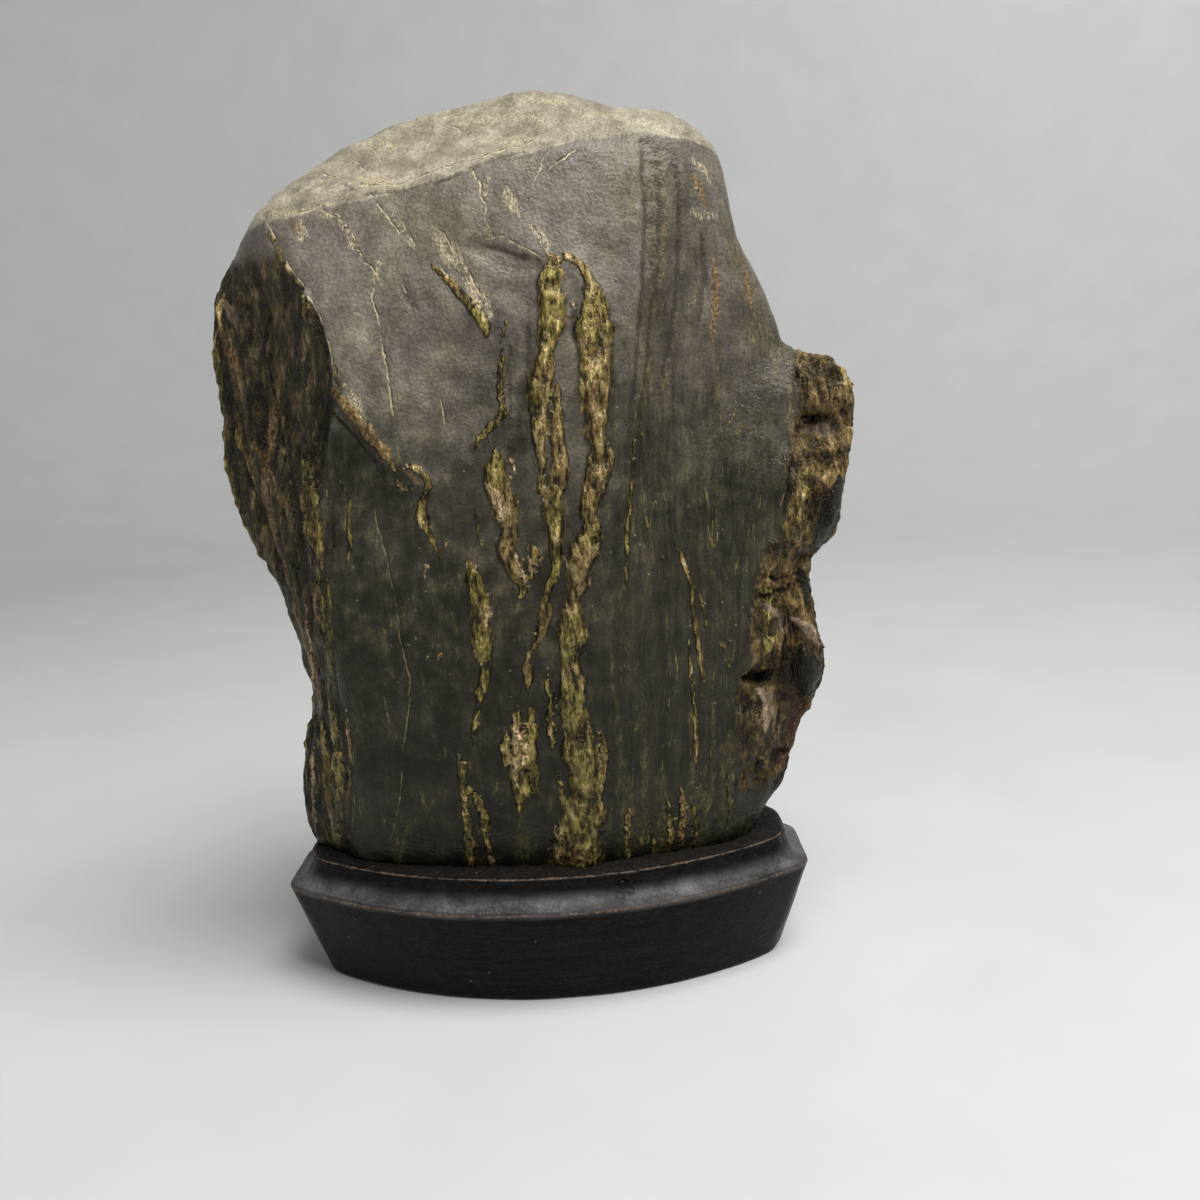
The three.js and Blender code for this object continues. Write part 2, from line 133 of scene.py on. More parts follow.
# Pink-cream crusts on the front, partly painted highlights on the upper-left edges and crests of the veins.
BLUSH_CRUSTS_AND_HIGHLIGHTS = (
    (4, ((484, 482, 3), (491, 490, 5), (499, 499, 5), (503, 508, 4), (500, 517, 3), (507, 530, 5),
         (506, 541, 3))),
    (3, ((510, 452), (513, 468), (510, 484))),
    (2.5, ((513, 548), (515, 556), (518, 566), (524, 578), (529, 587), (526, 597))),
    (3, ((518, 500), (519, 508))),
    (3, ((528, 546, 2.5), (529, 558, 3), (533, 571, 6), (536, 577, 3))),
    (2, ((541, 545), (540, 556), (538, 567))),
    (2.5, ((537, 625), (535, 634), (530, 641))),
    (3, ((523, 655), (533, 653))),
    (3, ((487, 603), (489, 616, 4), (487, 630))),
    (2.5, ((475, 647), (479, 656), (483, 666))),
    (2.5, ((468, 558), (474, 565), (480, 578))),
    (2.2, ((515, 712), (517, 736), (514, 761), (518, 790))),
    (2.0, ((524, 716), (522, 742), (525, 772))),
    (2.2, ((503, 736), (509, 739), (513, 748))),
    (2.4, ((462, 754), (464, 764))),
    (2.2, ((465, 788), (466, 814))),
    (4, ((405, 468), (416, 466), (424, 473))),
    (4, ((419, 515), (424, 521, 5), (429, 528))),
    (3, ((397, 485), (404, 490), (411, 489))),
    (3, ((547, 254), (556, 259, 4), (566, 258, 3), (574, 263, 5), (583, 267, 3))),
    (1.6, ((567, 268), (564, 285), (561, 300))),
    (2.6, ((567, 308), (577, 302), (585, 303))),
    (6, ((575, 337), (583, 343), (588, 354, 4))),
    (2.4, ((545, 334), (546, 350), (548, 360))),
    (3, ((589, 298), (600, 303, 4))),
    (3, ((597, 393), (599, 400))),
    (2.6, ((316, 742), (315, 786), (317, 832))),
    (2.6, ((345, 706), (349, 760))),
    (2.6, ((306, 600), (310, 640), (313, 690))),
    (3, ((730, 786), (731, 804))),
    (3, ((840, 380), (847, 390))),
    (2, ((446, 539), (446, 550))),
    (2, ((425, 560), (427, 572), (424, 580))),
    (2, ((430, 558), (429, 568))),
    (1.6, ((418, 655), (422, 648))),
    (1.6, ((428, 640), (430, 636))),
    (1.8, ((436, 661), (444, 652), (446, 648))),
    (1.6, ((424, 662), (428, 656))),
)

OLIVE_STAINS = (
    (3, ((634, 420), (631, 480), (629, 520), (626, 550), (622, 585), (617, 630))),
    (3, ((448, 787), (430, 806), (413, 824), (400, 846))),
    (5, ((460, 850), (478, 860), (496, 860))),
    (4, ((720, 336), (718, 424))),
    (9, ((656, 146), (660, 220), (655, 300), (646, 420))),
    (3, ((690, 690), (694, 760), (690, 840))),
    (3, ((716, 700), (712, 770), (706, 830))),
    (4, ((640, 700), (646, 780), (640, 850))),
    (6, ((232, 330), (244, 420), (262, 500))),
    (5, ((262, 300), (276, 380), (290, 470))),
    (9, ((812, 360), (806, 430), (796, 520), (778, 580))),
    (12, ((762, 690), (760, 730), (764, 760))),
    (3, ((610, 640), (618, 720), (622, 820))),
    (7, ((622, 760), (628, 820), (624, 872))),
    (7, ((660, 770), (664, 820), (660, 868))),
    (7, ((706, 770), (704, 810), (700, 850))),
    (7, ((730, 730), (726, 790), (720, 830))),
    (5, ((392, 820), (400, 846), (396, 870))),
    (6, ((520, 820), (524, 850), (520, 880))),
)

RUST_SEAMS = (
    (5, ((331, 388), (345, 406), (362, 426), (384, 452), (398, 474))),
    (3, ((304, 288), (308, 304), (306, 320))),
    (4, ((400, 470), (412, 474), (420, 486))),
    (5, ((288, 220), (298, 230), (306, 240))),
    (6, ((597, 306), (598, 328))),
    (6, ((554, 318), (566, 319), (577, 316))),
    (4, ((596, 372), (594, 410), (597, 440))),
    (3, ((679, 786), (684, 812), (683, 846))),
    (8, ((222, 330), (236, 370), (240, 410))),
    (4, ((256, 440), (274, 480), (286, 520))),
    (4, ((318, 590), (314, 640), (312, 700))),
    (7, ((802, 384), (826, 404), (842, 420))),
    (5, ((766, 752), (772, 764))),
    (6, ((762, 584), (784, 588), (804, 578))),
    (5, ((690, 170), (700, 190), (706, 214))),
    (5, ((712, 260), (716, 300), (712, 340))),
    (4, ((742, 250), (748, 280), (750, 310))),
)

RED_CREVICES = (
    (9, ((788, 664), (796, 690), (797, 712), (790, 742))),
    (6, ((784, 742), (780, 770))),
)

TAN_FACES = (
    (8, ((224, 302), (234, 316), (240, 334))),
    (11, ((758, 690), (768, 700), (764, 726))),
    (9, ((764, 606), (778, 616), (786, 632))),
    (8, ((804, 430), (822, 431), (838, 434))),
    (6, ((790, 618), (806, 628), (818, 644))),
)

POLISHED_LUMPS = (
    (15, ((802, 648), (804, 668), (806, 690))),
    (14, ((838, 480), (830, 520), (818, 548))),
    (10, ((800, 570), (806, 584), (806, 602))),
)

# Half width in pixels, depth in mm and points of each dark slot or split, sunk and painted near black as the
# shade inside it.
DARK_SLOTS = (
    (4.5, 2.2, ((803, 419), (814, 421), (829, 417))),
    (4.0, 1.8, ((837, 421), (848, 423))),
    (5.0, 2.6, ((742, 680), (756, 678), (773, 672))),
    (2.5, 0.8, ((722, 789), (736, 783))),
    (1.8, 0.5, ((560, 667), (570, 669), (579, 677))),
    (1.6, 0.4, ((563, 695), (571, 697))),
    (1.8, 0.5, ((562, 716), (570, 722), (580, 720))),
    (2.6, 0.8, ((563, 738), (574, 741), (588, 736))),
    (1.6, 0.4, ((574, 776), (587, 776))),
    (1.8, 0.4, ((591, 800), (600, 795))),
    (2.2, 0.7, ((588, 527), (594, 533), (595, 545))),
    (1.8, 0.6, ((604, 548), (594, 560), (585, 568))),
    (1.6, 0.4, ((583, 578), (575, 588), (570, 594))),
    (1.6, 0.4, ((597, 362), (600, 380), (597, 402))),
    (1.6, 0.3, ((546, 398), (550, 412), (548, 432))),
    (1.8, 0.4, ((570, 314), (577, 318), (582, 312))),
    (3.0, 1.0, ((757, 598), (782, 590), (806, 576))),
    (2.4, 0.8, ((757, 576), (776, 580), (800, 570))),
    (2.4, 0.9, ((784, 612), (786, 640), (784, 668))),
    (2.4, 0.8, ((784, 684), (779, 720), (768, 752))),
    (1.8, 0.5, ((288, 470), (293, 520), (302, 590))),
    (1.8, 0.5, ((262, 340), (272, 400), (286, 460))),
    (1.6, 0.4, ((604, 420), (606, 460), (602, 510), (600, 552))),
    (1.6, 0.4, ((592, 600), (588, 640), (586, 690))),
    (1.6, 0.3, ((606, 740), (609, 790), (606, 840))),
    (2.2, 0.6, ((323, 404), (340, 424), (356, 440), (372, 462), (384, 480))),
    (1.6, 0.4, ((372, 143), (376, 145))),
    (1.8, 0.6, ((796, 440), (790, 480), (782, 520))),
    (1.8, 0.6, ((826, 366), (830, 390), (832, 410))),
)

PALE_CRACKS = (
    ((275, 214), (300, 211), (320, 208), (335, 215), (350, 228), (357, 245), (364, 260), (373, 268),
     (379, 281), (372, 297), (378, 315), (382, 335), (384, 352), (388, 370), (391, 396), (394, 424)),
    ((468, 162), (473, 172), (481, 184), (480, 196), (487, 204), (485, 218), (490, 228), (494, 236)),
    ((547, 140), (545, 156), (540, 170), (534, 185)),
    ((506, 186), (513, 195), (511, 208)),
    ((522, 138), (522, 148), (520, 156)),
    ((360, 178), (376, 202), (390, 219), (403, 236), (412, 246), (418, 252)),
    ((391, 193), (404, 222), (411, 236), (418, 251)),
    ((453, 248), (466, 266), (476, 286), (483, 301), (496, 318)),
    ((436, 262), (448, 276), (458, 292), (470, 300)),
    ((430, 224), (446, 236), (452, 250), (462, 258)),
    ((546, 170), (567, 155), (581, 145)),
    ((479, 239), (503, 236), (526, 248), (546, 260)),
    ((398, 276), (407, 295), (418, 313)),
    ((438, 360), (441, 396), (446, 430)),
    ((262, 211), (278, 244), (291, 269), (309, 295), (320, 316), (329, 342), (333, 371), (336, 392)),
    ((336, 474), (348, 498), (346, 530), (345, 562)),
    ((370, 468), (377, 519), (380, 532), (388, 560), (394, 588), (399, 620), (401, 641), (411, 678),
     (410, 700), (407, 724), (403, 753)),
    ((403, 760), (401, 794), (397, 820), (390, 842)),
    ((384, 690), (388, 716), (391, 738)),
    ((300, 176), (320, 172), (338, 176), (352, 183)),
    ((349, 158), (360, 164), (371, 175)),
    ((360, 142), (370, 148), (378, 153)),
    ((336, 175), (360, 184), (396, 184), (433, 172), (469, 163), (500, 151), (530, 141)),
    ((440, 122), (456, 127), (470, 136), (480, 133)),
    ((318, 462), (326, 490), (324, 540)),
    ((326, 590), (334, 640), (340, 700)),
    ((352, 740), (354, 790), (352, 836)),
    ((785, 459), (787, 489), (778, 515)),
)

# Soft dark furrows, by half width and points: sunk a little and painted dark brown as the shade in creases
# and under ledges and ridges.
FURROWS = (
    (3.5, ((641, 140), (646, 200), (645, 260), (642, 320), (634, 400), (626, 470))),
    (2.5, ((656, 150), (659, 220), (655, 300), (646, 390))),
    (3, ((674, 150), (680, 220), (676, 300), (664, 380))),
    (3, ((700, 230), (704, 280), (698, 330))),
    (3, ((470, 240), (496, 247), (520, 255), (545, 263))),
    (2.5, ((398, 278), (407, 297), (417, 314))),
    (3, ((548, 172), (562, 160), (580, 148))),
    (2.5, ((432, 182), (452, 177), (472, 169), (500, 158), (530, 148))),
    (2.5, ((340, 182), (362, 191), (396, 191), (426, 184))),
    (5, ((577, 302), (574, 320), (576, 345))),
    (2.5, ((512, 330), (508, 380), (512, 420))),
    (3, ((326, 396), (344, 420), (360, 438), (376, 462), (388, 482))),
    (3, ((286, 268), (300, 294), (314, 320), (324, 350), (328, 384))),
    (4, ((248, 290), (262, 350), (278, 420))),
    (4, ((300, 430), (292, 480), (300, 550))),
    (3, ((324, 462), (330, 500), (330, 556))),
    (4, ((272, 520), (288, 570), (300, 620))),
    (3, ((330, 720), (332, 780), (330, 836))),
    (3, ((604, 330), (614, 380), (612, 430))),
    (3, ((530, 300), (528, 350), (524, 400))),
    (3, ((618, 560), (616, 640), (622, 720))),
    (3, ((660, 520), (656, 600), (660, 690))),
    (3, ((700, 460), (694, 540), (700, 620))),
    (3, ((796, 440), (790, 480), (782, 530))),
    (3, ((800, 362), (796, 388), (800, 412))),
)

# Pale facets that catch the light, painted paler as highlight, by half width and points.
PALE_FACETS = (
    (20, ((296, 236), (322, 268), (344, 306), (352, 350), (348, 384))),
    (10, ((338, 486), (350, 500), (368, 512))),
)

# Swells and hollows: half width in pixels, rise in mm and points.
SHAPED_STROKES = (
    (15, -0.9, ((470, 247), (500, 256), (538, 268))),
    (20, -0.6, ((425, 300), (440, 350), (430, 400))),
    (12, -0.5, ((525, 330), (520, 400), (518, 440))),
    (9, -0.7, ((568, 275), (576, 310), (575, 345))),
    (14, -0.6, ((660, 300), (650, 420), (640, 540))),
    (5, -0.8, ((646, 140), (650, 220), (647, 300), (638, 400))),
    (5, 0.5, ((632, 150), (636, 220), (634, 300), (626, 380))),
    (6, 0.5, ((664, 160), (668, 230), (662, 310))),
    (8, -0.5, ((690, 180), (694, 240), (688, 310))),
    (7, -0.5, ((404, 276), (408, 296), (412, 312))),
    (12, 0.6, ((350, 300), (352, 350), (346, 388))),
    (10, -0.6, ((325, 400), (346, 424), (366, 446), (384, 474))),
    (10, 0.6, ((404, 470), (418, 476), (412, 486))),
    (10, 0.9, ((812, 360), (830, 362), (842, 374))),
    (6, -1.2, ((797, 372), (800, 392), (802, 412))),
    (5, -1.0, ((818, 380), (822, 392), (824, 404))),
    (5, 0.9, ((838, 370), (847, 386), (848, 404))),
    (5, 0.8, ((806, 368), (812, 386), (816, 404))),
    (8, -0.6, ((806, 430), (826, 431), (844, 434))),
    (6, 0.9, ((806, 452), (826, 450), (846, 448))),
    (8, 1.1, ((804, 466), (798, 500), (790, 540))),
    (5, -0.9, ((818, 466), (814, 500), (810, 530))),
    (10, 0.9, ((836, 466), (834, 500), (828, 524))),
    (5, 0.6, ((790, 552), (778, 564))),
    (4, -1.4, ((800, 560), (822, 552), (842, 538))),
    (4, 0.8, ((760, 590), (776, 598), (792, 600))),
    (9, 0.6, ((762, 612), (776, 616), (786, 626))),
    (2.4, -0.7, ((772, 606), (767, 630))),
    (2.4, -0.7, ((781, 608), (784, 630))),
    (8, 0.8, ((774, 634), (778, 664))),
    (15, 1.2, ((806, 652), (808, 690))),
    (4, 0.7, ((790, 618), (812, 631), (822, 648))),
    (13, 0.9, ((758, 694), (764, 716), (758, 742))),
    (8, 0.9, ((764, 776), (784, 768))),
    (5, -0.9, ((758, 764), (776, 756), (790, 748))),
    (5, 0.7, ((776, 792), (790, 784))),
    (8, 0.9, ((240, 296), (250, 380), (262, 460))),
    (6, -0.9, ((262, 300), (276, 380), (288, 460))),
    (7, 0.7, ((300, 340), (308, 400), (316, 450))),
    (6, 0.7, ((303, 286), (308, 302), (306, 320))),
    (10, 0.9, ((304, 458), (310, 500), (316, 545))),
    (7, -0.7, ((332, 462), (330, 510), (330, 560))),
    (5, -0.9, ((278, 490), (290, 540), (300, 590))),
    (5, -0.7, ((246, 470), (262, 520), (284, 580))),
    (6, 0.6, ((318, 580), (318, 640), (322, 700))),
    (8, 0.7, ((316, 720), (314, 780), (318, 830))),
    (5, -0.6, ((328, 720), (330, 780), (330, 840))),
)

# Flaked edges and scars of pale cream, with painted highlights along the crown's ridge and edges.
CREAM_FLECKS_AND_EDGE_HIGHLIGHTS = (
    (4, ((262, 222), (270, 215), (300, 211), (330, 203))),
    (4, ((340, 196), (360, 186), (380, 181), (400, 185))),
    (3, ((468, 162), (499, 152), (523, 142), (547, 138))),
    (6, ((490, 142), (512, 141), (546, 138))),
    (4, ((430, 124), (446, 116), (470, 112))),
    (5, ((520, 104), (548, 100), (580, 104))),
    (6, ((590, 112), (612, 116), (624, 112))),
    (5, ((640, 122), (660, 128), (676, 134))),
    (4, ((300, 190), (318, 182), (336, 178))),
    (7, ((514, 118), (530, 116), (546, 122))),
    (7, ((458, 124), (480, 120), (506, 118))),
    (5, ((318, 212), (334, 214), (346, 224))),
    (8, ((296, 222), (304, 232), (300, 238))),
    (5, ((340, 220), (352, 240), (350, 256))),
    (5, ((380, 262), (376, 278), (380, 290))),
    (6, ((343, 384), (352, 396), (362, 410))),
    (5, ((488, 176), (482, 190), (488, 200))),
    (9, ((436, 236), (452, 256), (466, 276))),
    (8, ((466, 276), (480, 298), (492, 318))),
    (7, ((505, 190), (512, 204), (520, 216))),
    (7, ((528, 226), (540, 234), (548, 250))),
    (5, ((690, 160), (704, 170), (712, 184))),
    (5, ((692, 214), (704, 218), (716, 216))),
    (7, ((356, 176), (372, 178), (392, 182))),
    (6, ((372, 150), (386, 146), (398, 150))),
)

# Waxed patches inside the dry upper part, where its painted light is cut back, by half width and points.
WAXED_PATCHES = (
    (30, ((336, 440), (362, 462), (390, 505))),
    (34, ((500, 340), (512, 400), (520, 450))),
    (20, ((612, 330), (625, 400), (630, 470))),
    (26, ((675, 150), (680, 240), (668, 330))),
)

# The edge between the front and the left flank.
FLANK_EDGE = (
    (262, 214), (278, 244), (291, 269), (309, 295), (320, 316), (329, 342), (333, 371), (336, 400),
    (327, 440), (322, 500), (325, 560), (330, 620), (337, 700), (349, 745), (350, 830),
)

# Stone: lines of the back and the ends, in mm.
# Finish, half width and points (x, z) on the back or (y, z) on an end.

BACK_LINES = (
    ("ochre", 1.6, ((-28, 160), (-24, 138), (-30, 116), (-25, 92), (-31, 66), (-28, 40))),
    ("ochre", 1.1, ((-24, 136), (-15, 120), (-17, 100), (-11, 78))),
    ("ochre", 2.0, ((22, 150), (18, 128), (24, 104), (19, 84), (22, 60), (18, 36))),
    ("blush", 1.2, ((20, 120), (23, 102), (20, 86))),
    ("ochre", 0.8, ((42, 128), (38, 104), (44, 80), (40, 52))),
    ("olive", 3.5, ((4, 160), (0, 130), (6, 100), (2, 62), (5, 34))),
    ("olive", 3.0, ((-46, 140), (-42, 110), (-47, 80))),
    ("olive", 3.0, ((52, 120), (48, 90), (50, 60))),
    ("rust", 1.6, ((-8, 150), (-4, 128), (-9, 110))),
    ("rust", 2.0, ((34, 70), (30, 52), (33, 40))),
    ("blush", 1.0, ((-30, 110), (-26, 94), (-29, 80))),
    ("ochre", 1.2, ((-4, 84), (2, 66), (-3, 50), (0, 36))),
)
LEFT_END_LINES = (
    ("ochre", 1.2, ((-3, 148), (1, 122), (-3, 96), (0, 72), (-4, 44))),
    ("olive", 2.6, ((9, 140), (7, 106), (10, 70), (7, 38))),
    ("rust", 1.3, ((-11, 130), (-9, 108), (-12, 84), (-9, 58))),
    ("blush", 0.9, ((4, 100), (2, 84), (5, 66))),
)
RIGHT_END_LINES = (
    ("ochre", 1.3, ((4, 150), (1, 126), (5, 104), (2, 78), (5, 50))),
    ("olive", 2.8, ((-8, 160), (-10, 136), (-6, 118))),
    ("rust", 1.6, ((-4, 112), (-2, 92), (-5, 70))),
    ("tan", 2.4, ((8, 98), (10, 84), (7, 74))),
    ("gloss", 4.0, ((-2, 84), (0, 74))),
)

# Stone: relief

ROUNDING_LEVELS = 2
LINE_STEP = 6.0
CAST_STEP = 1.5
BACK_START = 90
END_START = 120
END_FADE = 5.0
END_WIDTH = 0.35
VEIN_RISE = 0.95
BLUSH_RISE = 0.35
TAN_RISE = 0.15
LUMP_RISE = 0.3
STRIA_DEPTH = 0.16
GRAIN_DEPTH = 0.07
FLANK_DEPTH = 0.8
FACE_DEPTH = 0.5
WRINKLE_DEPTH = 0.3
FULL_GIRTH = 2.0
BACK_DEPTH = 0.7
CROWN_DEPTH = 0.3
KNOB_PIT_DEPTH = 0.7
CRACK_DEPTH = 0.12
FURROW_DEPTH = 0.35
CRACK_FADE = (0.8, 1.2)
SEAT_TOP = 30.0
# Cycles per mm and reach in mm of the wander of drawn lines.
LINE_WANDER = ((0.16, 0.35), (0.55, 0.4), (1.5, 0.2))
WANDER_SEED = 5
WIDTH_CHANGE = 0.4
# Fall of the noise per octave, and how much finer each octave is.
NOISE_FALL = 0.9
NOISE_STEP = 2.1
RIDGE_OCTAVES = 4
RIDGE_OFFSET = 1.0
RIDGE_GAIN = 2.0
RIDGE_MIDDLE = 1.2

# Height of the crown's front ridge over x, and the places of the right crease and step over z.
CROWN_RIDGE = (
    (-50, 160), (-45, 161), (-34, 162.5), (-22, 164.5), (-6.5, 168), (10.5, 172), (26, 174), (40, 172),
    (52, 164),
)
RIGHT_CREASE = (
    (20, 14), (60, 16), (84, 17.5), (104, 20), (123, 22.5), (142, 25.5), (160, 27.5), (174, 27.5),
)
RIGHT_STEP = (
    (20, 40), (32, 41), (49, 42.5), (64, 43.5), (73, 46), (85, 48), (101, 53.5), (115, 55.5), (131, 58),
    (180, 70),
)
# Heights between which the stone turns dry and paler upwards, partly painted light from above, and between
# which it darkens downwards, partly painted shade.
DRY_FROM = 84.0
DRY_TO = 166.0
DARK_FROM = 108.0
DARK_TO = 34.0


def sight(across, down):
    """Direction of the line of sight through a point of the photograph."""
    half = PHOTO_SIDE / 2
    ray = Vector(((across - half) / PHOTO_SIDE, (half - down) / PHOTO_SIDE, -LENS / SENSOR_WIDTH))
    return (CAMERA_TURN @ ray).normalized()


def smooth_step(low, high, value):
    """0 below low, 1 above high and an even ease between."""
    share = np.clip((value - low) / (high - low), 0.0, 1.0)
    return share * share * (3.0 - 2.0 * share)


def rounded_copy(node, name, levels):
    """A merged copy of a CAD node's mesh, rounded."""
    bm = bmesh.new()
    bm.from_mesh(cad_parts[node].data)
    bmesh.ops.remove_doubles(bm, verts=bm.verts, dist=0.001 * MM)
    rough = bpy.data.meshes.new(name)
    bm.to_mesh(rough)
    bm.free()
    piece = bpy.data.objects.new(name, rough)
    bpy.context.scene.collection.objects.link(piece)
    rounding = piece.modifiers.new("rounding", "SUBSURF")
    rounding.levels = levels
    rounding.render_levels = levels
    settled = piece.evaluated_get(bpy.context.evaluated_depsgraph_get())
    smooth = bpy.data.meshes.new_from_object(settled)
    piece.modifiers.clear()
    piece.data = smooth
    bpy.data.meshes.remove(rough)
    return piece


def surface_tree(piece):
    """Search tree of a piece's surface."""
    bm = bmesh.new()
    bm.from_mesh(piece.data)
    tree = BVHTree.FromBMesh(bm)
    bm.free()
    return tree


def vertex_places(mesh):
    """Vertex places in mm."""
    flat = np.empty(len(mesh.vertices) * 3, np.float32)
    mesh.vertices.foreach_get("co", flat)
    return flat.reshape(-1, 3).astype(float) / MM


def vertex_normals(mesh):
    """Vertex normals."""
    flat = np.empty(len(mesh.vertices) * 3, np.float32)
    mesh.vertex_normals.foreach_get("vector", flat)
    return flat.reshape(-1, 3).astype(float)


def stepped(points, step):
    """Points along a broken line at about even steps."""
    out = []
    for first, second in zip(points, points[1:]):
        length = math.dist(first[:2], second[:2])
        count = max(1, round(length / step))
        for index in range(count):
            share = index / count
            out.append([a + (b - a) * share for a, b in zip(first, second)])
    out.append(list(points[-1]))
    return out


def with_widths(points, width):
    """Points that all hold a half width."""
    out = []
    for point in points:
        width = point[2] if len(point) == 3 else width
        out.append((point[0], point[1], width))
    return out


def tapered(line):
    """The half widths of a line drawn in towards both ends."""
    places = [place for place, width in line]
    runs = [0.0]
    for first, second in zip(places, places[1:]):
        runs.append(runs[-1] + (second - first).length)
    out = []
    for (place, width), run in zip(line, runs):
        end = min(run, runs[-1] - run)
        out.append((place, width * (END_WIDTH + (1.0 - END_WIDTH) * min(1.0, end / END_FADE))))
    return out


def seen_line(tree, points, width, taper=True):
    """A line of the photograph laid on the stone, as places in mm with half widths in mm."""
    line = []
    for across, down, half in stepped(with_widths(points, width), LINE_STEP):
        place = tree.ray_cast(CAMERA_PLACE, sight(across, down))[0]
        if place is not None:
            away = (place - CAMERA_PLACE).length
            line.append((place / MM, half * away / PHOTO_SIDE / MM))
    return tapered(line) if taper and len(line) > 1 else line


def cast_line(tree, points, width, side):
    """A line drawn on the back or an end of the stone, as places in mm with half widths in mm."""
    line = []
    for along, up in stepped(points, CAST_STEP):
        if side == "back":
            start = Vector((along, BACK_START, up))
            way = Vector((0, -1, 0))
        else:
            reach = -END_START if side == "left" else END_START
            start = Vector((reach, along, up))
            way = Vector((-reach, 0, 0)).normalized()
        place = tree.ray_cast(start * MM, way)[0]
        if place is not None:
            line.append((place / MM, width))
    return tapered(line) if len(line) > 1 else line


def nearness(places, line, field, girth=None):
    """Raises field towards 1 on the line, 0 at its edge and down to -1 one more half width out.

    A girth array takes the half width of the line that each place is nearest to.
    """
    for (first, width_a), (second, width_b) in zip(line, line[1:]):
        a = np.array(first)
        run = np.array(second) - a
        length = float(run @ run)
        if length == 0.0:
            continue
        reach = math.sqrt(length) + 2.0 * max(width_a, width_b)
        near = np.flatnonzero(((places - a) ** 2).sum(1) < reach * reach)
        if not len(near):
            continue
        rel = places[near] - a
        share = np.clip(rel @ run / length, 0.0, 1.0)
        gap = np.linalg.norm(rel - share[:, None] * run, axis=1)
        width = width_a + (width_b - width_a) * share
        level = 1.0 - gap / width
        closer = level > field[near]
        field[near[closer]] = level[closer]
        if girth is not None:
            girth[near[closer]] = width[closer]


def line_offsets(places, normals, lines):
    """Signed distance to the nearest of some fine lines, and how strongly that line shows."""
    offset = np.full(len(places), 9.0)
    strength = np.zeros(len(places))
    for line in lines:
        count = len(line)
        for index in range(count - 1):
            a = np.array(line[index][0])
            run = np.array(line[index + 1][0]) - a
            length = float(run @ run)
            if length == 0.0:
                continue
            reach = math.sqrt(length) + 2.0
            near = np.flatnonzero(((places - a) ** 2).sum(1) < reach * reach)
            if not len(near):
                continue
            rel = places[near] - a
            share = np.clip(rel @ run / length, 0.0, 1.0)
            gap = np.linalg.norm(rel - share[:, None] * run, axis=1)
            side = np.sign((np.cross(run, rel) * normals[near]).sum(1))
            end = np.minimum(index + share, count - 1 - index - share) / 3.0
            shown = np.clip(end, 0.0, 1.0) * (1.0 - smooth_step(*CRACK_FADE, gap))
            closer = gap < np.abs(offset[near])
            chosen = near[closer]
            offset[chosen] = (gap * np.where(side == 0, 1.0, side))[closer]
            strength[chosen] = shown[closer]
    return offset, strength


def rock_noise(places, stretch, shift, octaves):
    """Fractal noise at each place, about -1 to 1."""
    spots = places * np.array(stretch) + np.array(shift)
    return np.array([noise.fractal(Vector(spot), NOISE_FALL, NOISE_STEP, octaves) for spot in spots])


def ridge_noise(places, stretch, shift):
    """Sharp-crested noise at each place, about -1 to 1."""
    spots = places * np.array(stretch) + np.array(shift)
    levels = []
    for spot in spots:
        levels.append(noise.ridged_multi_fractal(
            Vector(spot), NOISE_FALL, NOISE_STEP, RIDGE_OCTAVES, RIDGE_OFFSET, RIDGE_GAIN,
        ))
    return np.array(levels) - RIDGE_MIDDLE


def wandered(places):
    """Places shifted by noise, so that lines laid on them wander and crumble."""
    noise.seed_set(WANDER_SEED)
    spots = places.copy()
    for scale, reach in LINE_WANDER:
        spots += reach * np.array([noise.noise_vector(Vector(place * scale)) for place in places])
    return spots


def store(mesh, name, values):
    """Keeps one number per vertex for the finish to read."""
    layer = mesh.attributes.new(name, "FLOAT", "POINT")
    layer.data.foreach_set("value", np.asarray(values, np.float32))


def over(pairs, value):
    """Height of a broken line at each value."""
    knots = np.array(pairs, float)
    return np.interp(value, knots[:, 0], knots[:, 1])


FRONT_LINES = (
    ("ochre", OCHRE_VEINS),
    ("blush", BLUSH_CRUSTS_AND_HIGHLIGHTS),
    ("olive", OLIVE_STAINS),
    ("rust", RUST_SEAMS),
    ("red", RED_CREVICES),
    ("tan", TAN_FACES),
    ("gloss", POLISHED_LUMPS),
    ("cream", CREAM_FLECKS_AND_EDGE_HIGHLIGHTS),
    ("shaded_furrow", FURROWS),
    ("waxed", WAXED_PATCHES),
    ("pale_painted_light", PALE_FACETS),
)
OTHER_LINES = (("back", BACK_LINES), ("left", LEFT_END_LINES), ("right", RIGHT_END_LINES))
SWELLING_FINISHES = ("ochre", "blush", "rust", "olive")


def drawn_fields(tree, places, bent):
    """Nearness to the drawn lines of each finish, and the half width of the nearest vein."""
    fields = {finish: np.full(len(places), -1.0) for finish, lines in FRONT_LINES}
    fields["slot"] = np.full(len(places), -1.0)
    girth = np.full(len(places), 1.0)
    for finish, lines in FRONT_LINES:
        kept_girth = girth if finish == "ochre" else None
        for width, points in lines:
            nearness(bent, seen_line(tree, points, width), fields[finish], kept_girth)
    for side, lines in OTHER_LINES:
        for finish, width, points in lines:
            kept_girth = girth if finish == "ochre" else None
            nearness(bent, cast_line(tree, points, width, side), fields[finish], kept_girth)
    swell = rock_noise(places, (0.3, 0.3, 0.2), (2, 6, 4), 3)
    for finish in SWELLING_FINISHES:
        drawn_on = fields[finish] > -0.999
        fields[finish][drawn_on] += WIDTH_CHANGE * swell[drawn_on]
    return fields, girth


